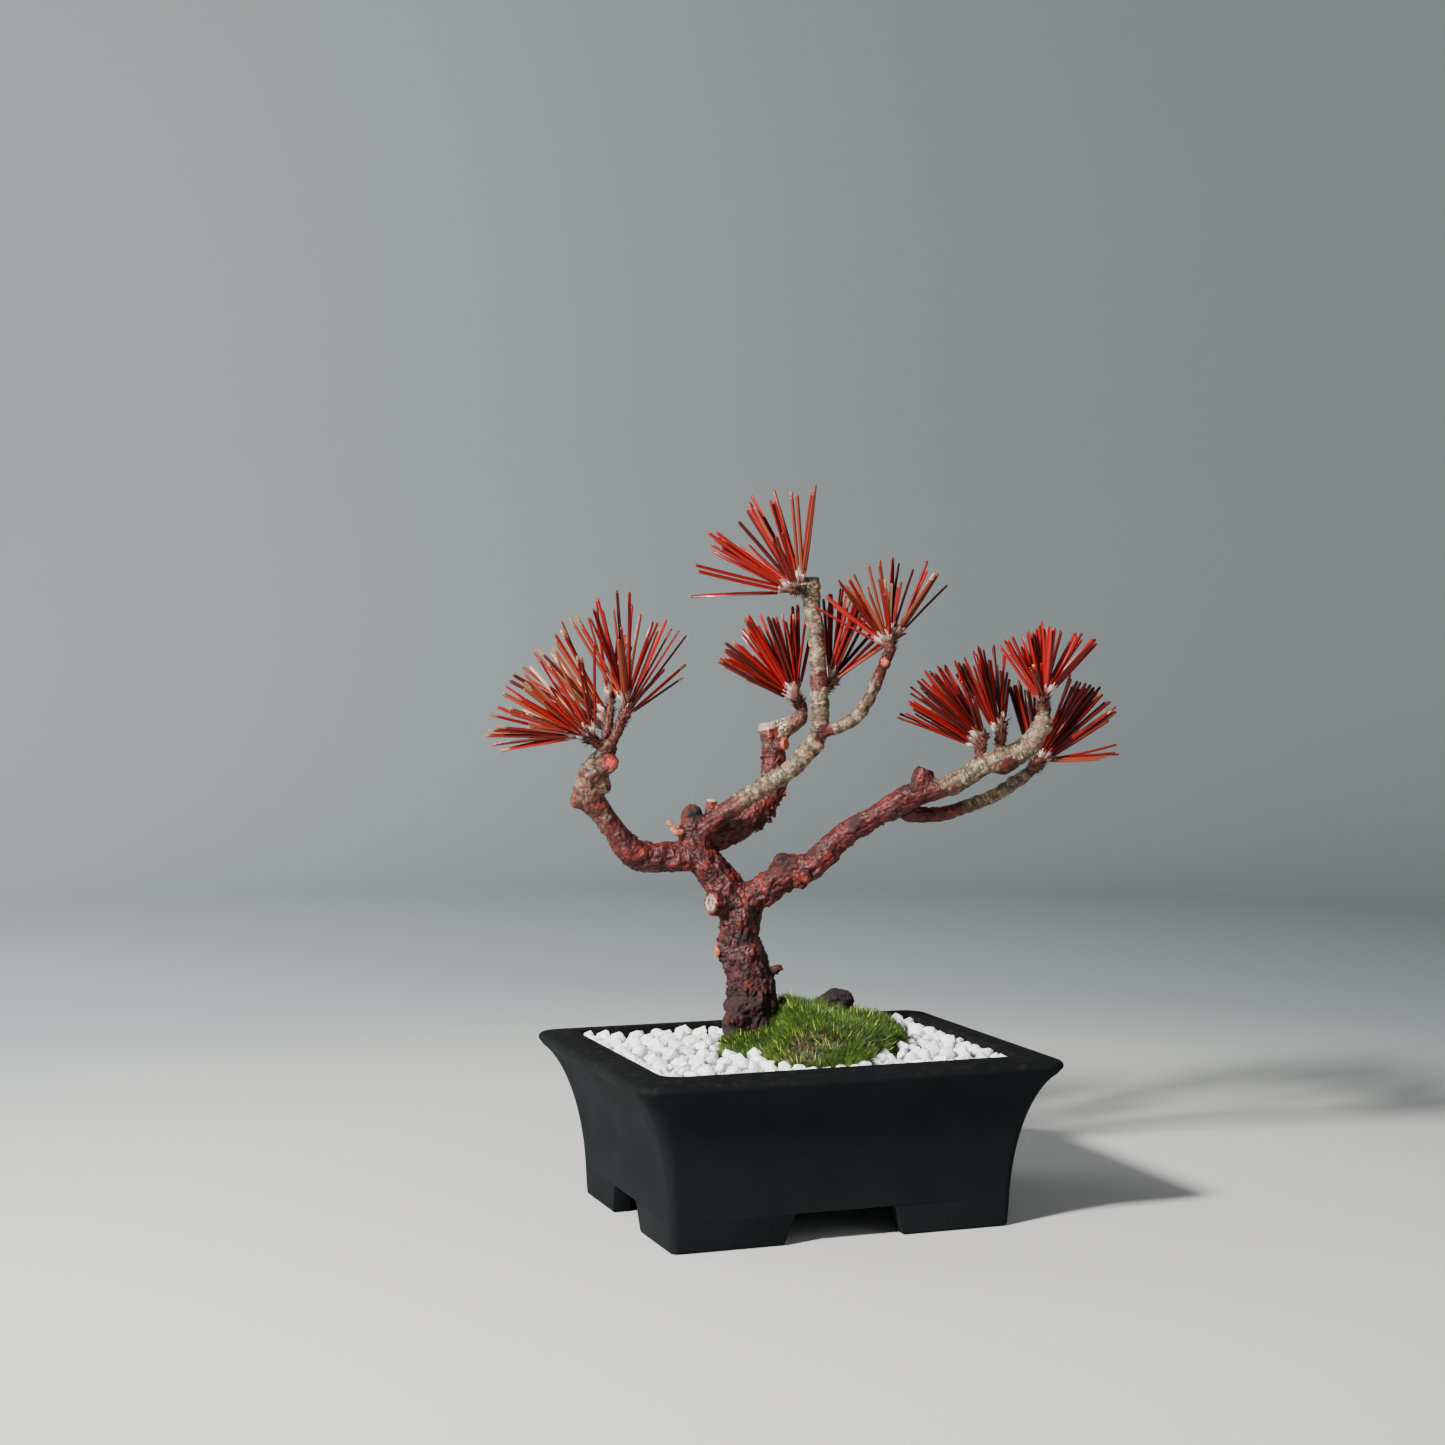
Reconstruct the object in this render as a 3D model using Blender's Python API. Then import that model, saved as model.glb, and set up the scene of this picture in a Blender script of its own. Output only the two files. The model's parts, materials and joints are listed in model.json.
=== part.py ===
"""A small black pine bonsai with red-dyed, clipped needles, planted in a shallow black ceramic pot.

The pot stands on the ground at z = 0 with its long side along X, and +Z is up. The origin is the
middle of the pot's footprint. Sizes are written in millimetres, and MM turns them into metres. The
tree has a face of its own, turned a little to the pot's left: its limbs and tufts are placed by
(across, behind, height), where across runs to the right over that face and behind runs away from it.
"""

import math
import random

import bmesh
import bpy
from mathutils import Vector
from mathutils.geometry import delaunay_2d_cdt

MM = 0.001
GAP = 0.3

# Pot
BASE_HALF = (80.0, 61.5)
BASE_CORNER = 3.5
FLARE = 20.0
FLARE_START = 15.0
FLARE_RADIUS = 57.0
WALL_LEAN = 0.05
SIDE_FLARE = 0.95
LIP_HEIGHT = 73.3
LIP_ROUND = 2.2
LIP_ANGLES = (-50, -25, 0, 30, 60, 85)
RIM_HEIGHT = 77.0
MOUTH_HALF = (84.0, 64.5)
MOUTH_CORNER = 9.0
MOUTH_ROUND = 1.5
MOUTH_STRAIGHT = 60.0
MIDWAY = 40.0
FLOOR_HALF = (74.0, 55.5)
FLOOR_TOP = 20.0
SKIRT = 8.0
SKIRT_CORNER = 5.0
RECESS_TOP = 14.5
FOOT_ROUND = 1.5
CORNER_GROWTH = 0.325
WALL_HEIGHTS = (15, 27, 38, 47, 54, 60, 64.5, 67.6, 69.8)
NOTCH_HEIGHT = 13.5
NOTCH_LEAN = 4.0
NOTCH_ROUND = 2.5
FRONT_NOTCH_HALF = 28.5
SIDE_NOTCH_HALF = 20.0
CORNER_POINTS = 6

# What fills the pot
SOIL_TOP = 66.0
STONE_WIDTH = (5.2, 10.5)
STONE_THROWS = 5000
STONE_MARGIN = 6.0
STONE_TOP = 72.4
TOP_BY_WIDTH = 0.47
TOP_FACET = 0.3
GROOVE_HEIGHT = (70.8, 72.4)
SHEET_MARGIN = 20.0
MOSS_CREST = (7.0, 18.0)
MOSS_MIDDLE = (9.0, -4.0)
MOSS_RADIUS = 41.0
MOSS_LOBE = 9.0
MOSS_LOBE_TURN = math.radians(54.0)
MOSS_EDGE = 73.5
MOSS_RISE = 21.5
MOSS_LUMP = 0.8
MOSS_RINGS = 6
MOSS_SIDES = 26
TRUNK_SIDE = math.radians(190.0)

# Tree
TREE_TURN = math.radians(-20.4)
TREE_FOOT = (-15.6, 26.6)
LIMB_SIDES = 8
RING_SPACING = 6.5
PIECE_LENGTH = 9.0
LUMPS = 0.07

# Each limb is a few stations of (across, behind, height, radius), from its root to its tip. A limb's
# root starts inside the limb that carries it and is cut back to that limb's surface.
LIMBS = {
    "trunk": (
        (4, 0, 66, 13.5), (4, 0, 78, 12), (5, 0, 92, 12), (4, 0, 104, 10.6), (-1, 0, 121, 9),
        (-1, 0, 134, 9.8), (-9, 0, 148, 8), (-17, 0, 158, 7.6), (-22, -1, 168, 6.6),
        (-23, -1, 182, 4.2),
    ),
    "left_bough_lower": (
        (-19, 0, 160, 6.8), (-33, -3, 160, 6.5), (-44, -6, 160, 6.6), (-52, -9, 164, 6.2),
        (-58, -11, 172, 5.1),
    ),
    "left_bough_upper": (
        (-57, -11, 171, 4.9), (-63, -13, 179, 4.9), (-70, -15, 191, 7.0), (-66, -17, 202, 6.0),
        (-60, -19, 213, 3.4),
    ),
    "right_bough": (
        (2, 0, 139, 7.6), (14, -2, 147, 7.0), (23, -4, 154, 7.4), (33, -6, 157, 6.8), (46, -8, 170, 5.5),
        (63, -12, 181, 4.8), (73, -13, 187, 5.9), (82, -15, 192, 5.4),
    ),
    "rear_bough": (
        (-18, 3, 164, 5.2), (-2, 9, 173, 6.3), (7, 13, 181, 7.0), (14, 16, 190, 6.4),
        (15, 18, 206, 5.3), (12, 18, 222, 4.3),
    ),
    "front_bough": (
        (-21, -2, 169, 4.6), (-9, -7, 180, 4.4), (3, -11, 189, 4.1), (20, -14, 200, 3.9),
        (30, -16, 210, 4.1), (35, -17, 218, 4.1),
    ),
    "top_branch": (
        (35, -17, 217, 4.0), (35, -17, 234, 3.9), (34, -15, 256, 3.1), (32, -13, 272, 3.3),
        (31, -13, 280, 3.8), (31, -12, 289, 3.0),
    ),
    "side_branch": (
        (36, -17, 219, 2.8), (46, -20, 222, 2.7), (54, -23, 229, 2.7), (60, -24, 241, 2.5),
        (66, -24, 255, 2.1),
    ),
    "rear_twig": (
        (15, 18, 211, 3.4), (21, 17, 219, 3.7), (27, 14, 224, 3.6), (28, 12, 230, 2.4),
    ),
    "upper_right_branch": (
        (80, -15, 191, 5.0), (89, -16, 193, 4.3), (99, -17, 197, 4.5), (112, -20, 205, 4.2),
        (119, -21, 206, 5.0), (131, -23, 215, 4.7), (137, -24, 227, 3.2),
    ),
    "lower_right_branch": (
        (70, -11, 185, 4.0), (79, -7, 181, 3.9), (93, -3, 181, 3.2), (114, -2, 188, 2.8),
        (131, -5, 199, 2.8),
    ),
}

# A cut surface root, from its foot in the soil to its cut end.
SURFACE_ROOT = ((33, 6, 66, 5.0), (36, 7, 84, 5.0), (42, 8, 91, 5.2), (49, 9, 91, 5.4))

# Cut stubs, knobs and spurs that are one with their limb, as a root and a tip station each.
STUBS = {
    "trunk": (
        ((-4, -2, 138, 5.2), (-15, -9, 140, 4.3)),
        ((-6, -2, 117, 3.2), (-12, -3, 116, 2.2)),
        ((9, 0, 104, 3.0), (19, -1, 109, 1.4)),
    ),
    "left_bough_upper": (
        ((-64, -17, 202, 4.8), (-60, -26, 205, 4.3)),
    ),
    "right_bough": (
        ((14, -2, 148, 4.0), (16, -3, 157, 2.6)),
        ((29, -7, 156, 4.0), (29, -14, 151, 2.6)),
        ((80, -15, 192, 5.0), (84, -15, 202, 3.8)),
    ),
    "rear_bough": (
        ((15, 16, 211, 3.2), (21, 12, 212, 2.6)),
    ),
    "front_bough": (
        ((-15, -5, 176, 2.6), (-14, -6, 187, 2.0)),
    ),
    "side_branch": (
        ((64, -24, 250, 2.3), (64, -28, 251, 2.4)),
    ),
}

# Needles. A pair of needles in its sheath is one three-sided blade here.
SHEATH_LENGTH = 7.0
BLADE_RADIUS = 1.3
BLADE_TAPER = 0.85
BUNCH_SPREAD = 8.0
BUNCH_LEAN_SPREAD = 13.0
LENGTH_SPREAD = (0.86, 1.06)
FIRST_BUNCH = 0.55
STEM_BEYOND_BOUGH = 0.4
BARE_FOOT = 3.0
TRIES = 10
CLEARANCE = 0.5
CROWN_HALF_WIDTH = 137.0
CROWN_HALF_DEPTH = 79.0
STEM_SIDES = 7

# Each tuft is one mass: its stem from root to tip, the stem's radius, its needles' length, and its
# bunches as (heading, lean, pairs). Heading is in degrees over the tree's face, 0 to the right and
# 90 up, and lean is in degrees behind the face, or before it where negative. Bunches are listed in
# the order in which they leave the stem.
TUFTS = {
    "needles_top": (
        ((31, -14, 286), (23, -18, 283), 1.9, 40),
        ((91, -10, 3), (103, -8, 3), (122, 5, 5), (138, 52, 3), (112, -48, 2), (154, -5, 5), (176, 0, 2)),
    ),
    "needles_left_low": (
        ((-62, -19, 211), (-72, -23, 217), 2.0, 37),
        ((98, -8, 2), (114, -8, 3), (132, -12, 5), (126, -48, 3), (148, -2, 5), (160, -42, 3), (160, 6, 4),
         (165, 40, 3), (172, 0, 5), (183, -3, 4)),
    ),
    "needles_left_high": (
        ((-60, -20, 212), (-52, -21, 231), 2.1, 43),
        ((60, 0, 3), (74, -4, 4), (40, 46, 3), (86, 6, 3), (100, 0, 4), (113, -12, 4), (88, -50, 2)),
    ),
    "needles_left_rear": (
        ((-63, -16, 204), (-61, -7, 230), 2.0, 42),
        ((147, 14, 4), (130, 14, 5), (118, 4, 4), (135, 44, 4), (80, 52, 4), (103, 16, 3)),
    ),
    "needles_middle": (
        ((28, 12, 229), (25, 9, 234), 2.3, 37),
        ((152, -4, 5), (143, 4, 5), (130, 0, 5), (138, 46, 4), (115, 6, 5), (98, 0, 4), (105, 50, 4),
         (86, 5, 3)),
    ),
    "needles_middle_right": (
        ((35, -16, 236), (41, -7, 242), 1.9, 37),
        ((32, 0, 2), (40, 12, 2), (70, 4, 4), (62, 44, 4), (84, 0, 4), (95, 40, 3)),
    ),
    "needles_side": (
        ((66, -24, 254), (67, -24, 260), 1.9, 32),
        ((150, 0, 4), (124, 4, 6), (130, 48, 3), (106, -24, 3), (98, -52, 3), (90, 2, 3), (80, 46, 4),
         (72, -4, 3), (53, 0, 4)),
    ),
    "needles_right_inner": (
        ((107, -19, 203), (110, -20, 218), 1.9, 33),
        ((160, 0, 3), (150, -4, 4), (150, 44, 3), (138, 2, 6), (124, -2, 5), (112, -50, 3), (114, 20, 3)),
    ),
    "needles_right_middle": (
        ((116, -20, 207), (119, -15, 223), 1.8, 35),
        ((114, 8, 4), (103, 10, 5), (120, 34, 2), (92, 32, 4), (80, 54, 3)),
    ),
    "needles_right_tip": (
        ((137, -24, 226), (136, -25, 235), 2.2, 29),
        ((123, -10, 6), (106, -6, 5), (112, -48, 3), (96, -4, 3), (84, 0, 4), (66, 20, 2), (57, -8, 4)),
    ),
    "needles_right_low": (
        ((131, -5, 199), (138, -6, 206), 2.3, 37),
        ((104, 22, 4), (86, 40, 4), (66, -8, 5), (56, 10, 4), (48, -16, 5), (36, -30, 4), (26, 14, 3),
         (8, -46, 3)),
    ),
}

MATERIALS = {
    "black_glaze": ((0.012, 0.015, 0.017), 0.45),
    "dark_soil": ((0.03, 0.02, 0.014), 0.95),
    "white_stone": ((0.8, 0.8, 0.79), 0.7),
    "green_moss": ((0.1, 0.24, 0.02), 0.9),
    "red_bark": ((0.17, 0.045, 0.035), 0.7),
    "grey_bark": ((0.3, 0.24, 0.16), 0.8),
    "red_needles": ((0.42, 0.015, 0.008), 0.3),
}
GREY_LIMBS = ("front_bough", "top_branch", "side_branch", "upper_right_branch", "lower_right_branch")


def clear_scene():
    for obj in list(bpy.data.objects):
        bpy.data.objects.remove(obj, do_unlink=True)


def make_materials():
    made = {}
    for name, (colour, roughness) in MATERIALS.items():
        material = bpy.data.materials.new(name)
        material.use_nodes = True
        shader = material.node_tree.nodes["Principled BSDF"]
        shader.inputs["Base Color"].default_value = (*colour, 1.0)
        shader.inputs["Roughness"].default_value = roughness
        shader.inputs["Metallic"].default_value = 0.0
        made[name] = material
    return made


def object_from(bm, name):
    """A linked object from a bmesh, with its faces turned outwards."""
    bmesh.ops.recalc_face_normals(bm, faces=bm.faces)
    mesh = bpy.data.meshes.new(name)
    bm.to_mesh(mesh)
    bm.free()
    obj = bpy.data.objects.new(name, mesh)
    bpy.context.scene.collection.objects.link(obj)
    return obj


def remove(obj):
    mesh = obj.data
    bpy.data.objects.remove(obj, do_unlink=True)
    bpy.data.meshes.remove(mesh)


def is_closed(mesh):
    """True where every edge of a mesh has exactly two faces."""
    bm = bmesh.new()
    bm.from_mesh(mesh)
    closed = bool(bm.faces) and all(edge.is_manifold for edge in bm.edges)
    bm.free()
    return closed


def keep_largest_body(mesh):
    """Drops the loose scraps that a cut leaves beside the main body."""
    bm = bmesh.new()
    bm.from_mesh(mesh)
    bm.verts.ensure_lookup_table()
    seen = set()
    bodies = []
    for vert in bm.verts:
        if vert in seen:
            continue
        body = {vert}
        edge_of_body = [vert]
        while edge_of_body:
            for edge in edge_of_body.pop().link_edges:
                for end in edge.verts:
                    if end not in body:
                        body.add(end)
                        edge_of_body.append(end)
        seen |= body
        bodies.append(body)
    if len(bodies) > 1:
        largest = max(bodies, key=len)
        scraps = [vert for vert in bm.verts if vert not in largest]
        bmesh.ops.delete(bm, geom=scraps, context="VERTS")
        bm.to_mesh(mesh)
    bm.free()


def boolean(obj, operation, others, solvers=("EXACT", "MANIFOLD")):
    """Joins other objects to obj, or cuts them out of it, and removes them. The second solver is
    used where the first leaves an open mesh."""
    tools = bpy.data.collections.new("tools")
    for other in others:
        tools.objects.link(other)
    modifier = obj.modifiers.new(operation.title(), "BOOLEAN")
    modifier.operation = operation
    modifier.operand_type = "COLLECTION"
    modifier.collection = tools
    for solver in solvers:
        modifier.solver = solver
        graph = bpy.context.evaluated_depsgraph_get()
        graph.update()
        result = bpy.data.meshes.new_from_object(obj.evaluated_get(graph), depsgraph=graph)
        if is_closed(result):
            break
    keep_largest_body(result)
    obj.modifiers.remove(modifier)
    old = obj.data
    obj.data = result
    result.name = obj.name
    bpy.data.meshes.remove(old)
    bpy.data.collections.remove(tools)
    for other in others:
        remove(other)


def rounded_rectangle(half_x, half_y, corner):
    """Points round a rectangle with round corners, anticlockwise from the right-hand side."""
    points = []
    for quarter in range(4):
        side_x = 1 if quarter in (0, 3) else -1
        side_y = 1 if quarter in (0, 1) else -1
        for step in range(CORNER_POINTS):
            angle = math.pi / 2 * (quarter + step / (CORNER_POINTS - 1))
            x = side_x * (half_x - corner) + corner * math.cos(angle)
            y = side_y * (half_y - corner) + corner * math.sin(angle)
            points.append((x, y))
    return points


def ringed_solid(name, rings):
    """A closed solid through rings of equally many (x, y, z) points, capped at both ends. Every side
    is split along the same diagonal, so that a solid and its grown cutter keep their distance."""
    bm = bmesh.new()
    rows = [[bm.verts.new(Vector(point) * MM) for point in ring] for ring in rings]
    count = len(rows[0])
    for below, above in zip(rows, rows[1:]):
        for i in range(count):
            j = (i + 1) % count
            bm.faces.new((below[i], below[j], above[j]))
            bm.faces.new((below[i], above[j], above[i]))
    bm.faces.new(list(reversed(rows[0])))
    bm.faces.new(rows[-1])
    return object_from(bm, name)


def shade_round(obj, angle_degrees=40.0):
    obj.data.shade_smooth()
    obj.data.set_sharp_from_angle(angle=math.radians(angle_degrees))


def wall_offset(height):
    """How far the pot's outer wall stands out from its base, at a height."""
    rise = max(0.0, height - FLARE_START) / FLARE_RADIUS
    return WALL_LEAN * height + FLARE * (1 - math.sqrt(max(0.0, 1 - rise * rise)))


def pot_ring(offset, height):
    corner = BASE_CORNER + CORNER_GROWTH * offset
    outline = rounded_rectangle(BASE_HALF[0] + offset, BASE_HALF[1] + SIDE_FLARE * offset, corner)
    return [(x, y, height) for x, y in outline]


def mouth_half(height):
    """Half sizes of the pot's inside at a height: straight at the mouth, narrower to the floor."""
    part = min(1.0, max(0.0, (MOUTH_STRAIGHT - height) / (MOUTH_STRAIGHT - FLOOR_TOP)))
    return [m + (f - m) * part for m, f in zip(MOUTH_HALF, FLOOR_HALF)]


def inside_ring(height, clearance=0.0):
    half_x, half_y = mouth_half(height)
    outline = rounded_rectangle(half_x - clearance, half_y - clearance, MOUTH_CORNER - clearance)
    return [(x, y, height) for x, y in outline]


def notch_cutter(half_width, half_run, along_x):
    """A long prism with a notch's outline, for both ends of the pot at once."""
    top = NOTCH_HEIGHT
    narrow = half_width - NOTCH_LEAN
    half_outline = [
        (half_width + NOTCH_LEAN * NOTCH_ROUND / top, -NOTCH_ROUND),
        (narrow + NOTCH_LEAN * NOTCH_ROUND / top, top - NOTCH_ROUND),
        (narrow - 0.3 * NOTCH_ROUND, top - 0.3 * NOTCH_ROUND),
        (narrow - NOTCH_ROUND, top),
    ]
    outline = half_outline + [(-side, up) for side, up in reversed(half_outline)]
    rings = []
    for run in (-half_run, half_run):
        rings.append([(run, side, up) if along_x else (side, run, up) for side, up in outline])
    return ringed_solid("notch", rings)


def make_pot():
    skirt_half = (BASE_HALF[0] - SKIRT, BASE_HALF[1] - SKIRT)
    skirt = rounded_rectangle(*skirt_half, SKIRT_CORNER)
    rings = [[(x, y, height) for x, y in skirt] for height in (RECESS_TOP, 0.0)]
    rings.append(pot_ring(-FOOT_ROUND, 0.0))
    rings.append(pot_ring(-0.4 * FOOT_ROUND, 0.3 * FOOT_ROUND))
    rings.append(pot_ring(0.0, FOOT_ROUND))
    for height in WALL_HEIGHTS:
        rings.append(pot_ring(wall_offset(height), height))
    for degrees in LIP_ANGLES:
        angle = math.radians(degrees)
        offset = FLARE - LIP_ROUND * (1 - math.cos(angle))
        rings.append(pot_ring(offset, LIP_HEIGHT + LIP_ROUND * math.sin(angle)))
    rim = rounded_rectangle(*(half + MOUTH_ROUND for half in (*MOUTH_HALF, MOUTH_CORNER)))
    rings.append([(x, y, RIM_HEIGHT) for x, y in rim])
    for height in (RIM_HEIGHT - MOUTH_ROUND, MOUTH_STRAIGHT, MIDWAY, FLOOR_TOP):
        rings.append(inside_ring(height))
    pot = ringed_solid("pot", rings)
    reach = BASE_HALF[0] + FLARE
    boolean(pot, "DIFFERENCE", [notch_cutter(FRONT_NOTCH_HALF, reach, False)])
    boolean(pot, "DIFFERENCE", [notch_cutter(SIDE_NOTCH_HALF, reach + FLARE, True)])
    shade_round(pot)
    return pot


def make_soil():
    heights = (FLOOR_TOP + GAP, MIDWAY, MOUTH_STRAIGHT, SOIL_TOP)
    return ringed_solid("soil", [inside_ring(height, GAP) for height in heights])


def moss_radius(angle):
    """The moss cushion's outline, round its middle: three lobes with a ragged edge."""
    return MOSS_RADIUS + MOSS_LOBE * math.cos(3 * angle - MOSS_LOBE_TURN) + 1.5 * math.sin(7 * angle)


def moss_outline(grow=0.0):
    points = []
    for side in range(MOSS_SIDES):
        angle = 2 * math.pi * side / MOSS_SIDES
        radius = moss_radius(angle) + grow
        x = MOSS_MIDDLE[0] + radius * math.cos(angle)
        y = MOSS_MIDDLE[1] + radius * math.sin(angle)
        points.append((x, y))
    return points


def moss_height(share, angle):
    """Height of the moss at a share of the way from its crest to its edge. It falls off in a dome,
    and in a hollow towards the trunk."""
    hollow = (0.5 + 0.5 * math.cos(angle - TRUNK_SIDE)) ** 2
    fall = (1 - share ** (3.0 - 2.0 * hollow)) ** (0.5 + 1.1 * hollow)
    lumps = MOSS_LUMP * math.sin(5 * angle + 9 * share) * share * (1 - share) * 4
    return MOSS_EDGE + MOSS_RISE * fall + lumps


def make_moss():
    outline = moss_outline()
    rings = [[(x, y, SOIL_TOP + GAP) for x, y in outline]]
    for step in range(MOSS_RINGS):
        share = 1 - step / MOSS_RINGS
        ring = []
        for side, (x, y) in enumerate(outline):
            angle = 2 * math.pi * side / MOSS_SIDES
            place_x = MOSS_CREST[0] + (x - MOSS_CREST[0]) * share
            place_y = MOSS_CREST[1] + (y - MOSS_CREST[1]) * share
            ring.append((place_x, place_y, moss_height(share, angle)))
        rings.append(ring)
    return ringed_solid("moss", rings)


def stone_places():
    """Where each pebble lies and how wide it is. They are thrown at random, the wide ones first, and
    one that would lie on another is left out."""
    rng = random.Random(11)
    reach = [half + STONE_MARGIN for half in MOUTH_HALF]
    narrow, wide = STONE_WIDTH
    stones = []
    for throw in range(STONE_THROWS):
        width = wide + (narrow - wide) * (throw / STONE_THROWS) ** 0.3
        x, y = rng.uniform(-reach[0], reach[0]), rng.uniform(-reach[1], reach[1])
        if all(math.hypot(x - a, y - b) > (width + other) / 2 for a, b, other in stones):
            stones.append((x, y, width))
    return stones


def stone_sheet():
    """A block whose top is a sheet of low facets: a small level facet on each pebble, and grooves
    halfway between each pebble and its neighbours."""
    rng = random.Random(12)
    stones = stone_places()
    middles = [Vector((x, y)) for x, y, _ in stones]
    neighbours = delaunay_2d_cdt(middles, [], [], 0, 1e-4)[1]
    points = [(*((middles[a] + middles[b]) / 2), rng.uniform(*GROOVE_HEIGHT)) for a, b in neighbours]
    for x, y, width in stones:
        turn = rng.uniform(0, 2 * math.pi)
        for corner in range(3):
            angle = turn + 2 * math.pi * corner / 3
            reach = TOP_FACET * width
            height = STONE_TOP + TOP_BY_WIDTH * width - rng.uniform(0.0, 0.8)
            points.append((x + reach * math.cos(angle), y + reach * math.sin(angle), height))
    for side_x, side_y in ((-1, -1), (1, -1), (1, 1), (-1, 1)):
        x, y = (half + SHEET_MARGIN for half in MOUTH_HALF)
        points.append((side_x * x, side_y * y, GROOVE_HEIGHT[0]))
    facets = delaunay_2d_cdt([Vector(point[:2]) for point in points], [], [], 0, 1e-4)[2]
    bm = bmesh.new()
    verts = [bm.verts.new(Vector(point) * MM) for point in points]
    top = [bm.faces.new([verts[i] for i in facet]) for facet in facets]
    below = bmesh.ops.extrude_face_region(bm, geom=top)
    for vert in (item for item in below["geom"] if isinstance(item, bmesh.types.BMVert)):
        vert.co.z = MIDWAY * MM
    return object_from(bm, "stone_sheet")


def make_gravel():
    """A bed of white pebbles over the soil, open where the moss grows."""
    bed = [inside_ring(height, GAP) for height in (SOIL_TOP + GAP, RIM_HEIGHT + STONE_MARGIN)]
    gravel = ringed_solid("gravel", bed)
    boolean(gravel, "INTERSECT", [stone_sheet()])
    outline = moss_outline(GAP)
    hole = [[(x, y, height) for x, y in outline] for height in (MOUTH_STRAIGHT, RIM_HEIGHT + MOSS_RISE)]
    boolean(gravel, "DIFFERENCE", [ringed_solid("moss_hole", hole)])
    return gravel


def place(across, behind, height):
    """A place in the tree's own face, as a place in the pot's frame, both in millimetres."""
    cos, sin = math.cos(TREE_TURN), math.sin(TREE_TURN)
    x = TREE_FOOT[0] + across * cos - behind * sin
    y = TREE_FOOT[1] + across * sin + behind * cos
    return Vector((x, y, height))


def smooth_path(stations, spacing=RING_SPACING):
    """Centres and radii along a smooth line through a limb's stations."""
    places = [place(*station[:3]) for station in stations]
    radii = [station[3] for station in stations]
    path = []
    for i in range(len(places) - 1):
        before = max(i - 1, 0)
        after = min(i + 2, len(places) - 1)
        start, end = places[i], places[i + 1]
        out = (end - places[before]) / (2 if i else 1)
        into = (places[after] - start) / (2 if i + 2 < len(places) else 1)
        steps = max(1, round((end - start).length / spacing))
        for step in range(steps):
            t = step / steps
            point = (
                start * (2 * t**3 - 3 * t**2 + 1)
                + out * (t**3 - 2 * t**2 + t)
                + end * (3 * t**2 - 2 * t**3)
                + into * (t**3 - t**2)
            )
            path.append((point, radii[i] + (radii[i + 1] - radii[i]) * t))
    path.append((places[-1], radii[-1]))
    return path


def tube_rings(path, sides, grow=0.0, lumps=0.0, phase=0.0):
    """Rings of points round a path, each ring turned as little as may be from the last."""
    rings = []
    upright = None
    for i, (centre, radius) in enumerate(path):
        ahead = path[min(i + 1, len(path) - 1)][0]
        behind = path[max(i - 1, 0)][0]
        along = (ahead - behind).normalized()
        if upright is None:
            upright = Vector((0, 0, 1)) if abs(along.z) < 0.8 else Vector((0, 1, 0))
        side = along.cross(upright).normalized()
        upright = side.cross(along).normalized()
        if i == 0:
            centre = centre - along * grow
        if i == len(path) - 1:
            centre = centre + along * grow
        ring = []
        for k in range(sides):
            angle = 2 * math.pi * k / sides
            waves = math.sin(2 * angle + 1.3 * i + phase) * math.cos(angle - 0.8 * i + 2 * phase)
            reach = radius * (1 + lumps * waves) + grow
            ring.append(centre + (side * math.cos(angle) + upright * math.sin(angle)) * reach)
        rings.append(ring)
    return rings


def level_foot(rings, height):
    """Sets a trunk's first ring flat on a level."""
    rings[0] = [Vector((point.x, point.y, height)) for point in rings[0]]
    return rings


def limb_solid(name, grow=0.0):
    """A limb with its stubs fused on, or the same shape grown all over, as a cutter."""
    phase = sum(ord(letter) for letter in name) % 7
    rings = tube_rings(smooth_path(LIMBS[name]), LIMB_SIDES, grow, LUMPS, phase)
    if name == "trunk":
        level_foot(rings, SOIL_TOP + GAP - grow)
    limb = ringed_solid(f"{name}_cutter" if grow else name, rings)
    stubs = []
    for stub in STUBS.get(name, ()):
        rings = tube_rings(smooth_path(stub), LIMB_SIDES, grow)
        stubs.append(ringed_solid("stub", rings))
    if stubs:
        boolean(limb, "UNION", stubs)
    return limb


def box_of(obj):
    places = [vert.co for vert in obj.data.vertices]
    return [(min(p[axis] for p in places), max(p[axis] for p in places)) for axis in range(3)]


def boxes_touch(one, other):
    return all(a[0] < b[1] and b[0] < a[1] for a, b in zip(box_of(one), box_of(other)))


def copy_of(obj):
    duplicate = obj.copy()
    duplicate.data = obj.data.copy()
    bpy.context.scene.collection.objects.link(duplicate)
    return duplicate


def make_limbs(cutters):
    """The trunk and each bough, cut back where it meets the limbs made before it."""
    made = {}
    for name in LIMBS:
        limb = limb_solid(name)
        for other in made:
            if boxes_touch(limb, cutters[other]):
                boolean(limb, "DIFFERENCE", [copy_of(cutters[other])])
        shade_round(limb)
        made[name] = limb
    return made


def surface_root_solid(grow=0.0):
    """The stump of a root that leans out of the moss beside the trunk's foot."""
    rings = tube_rings(smooth_path(SURFACE_ROOT), LIMB_SIDES, grow, LUMPS, 1.0)
    level_foot(rings, SOIL_TOP + GAP - grow)
    return ringed_solid("surface_root_cutter" if grow else "surface_root", rings)


def segment_distance(a, b, c, d):
    """The least distance between the straight pieces a to b and c to d."""
    u, v, w = b - a, d - c, a - c
    uu, uv, vv, uw, vw = u.dot(u), u.dot(v), v.dot(v), u.dot(w), v.dot(w)
    det = uu * vv - uv * uv
    s = min(1.0, max(0.0, (uv * vw - vv * uw) / det)) if det > 1e-9 else 0.0
    t = min(1.0, max(0.0, (uv * s + vw) / vv))
    s = min(1.0, max(0.0, (uv * t - uw) / uu))
    return (w + u * s - v * t).length


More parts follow.
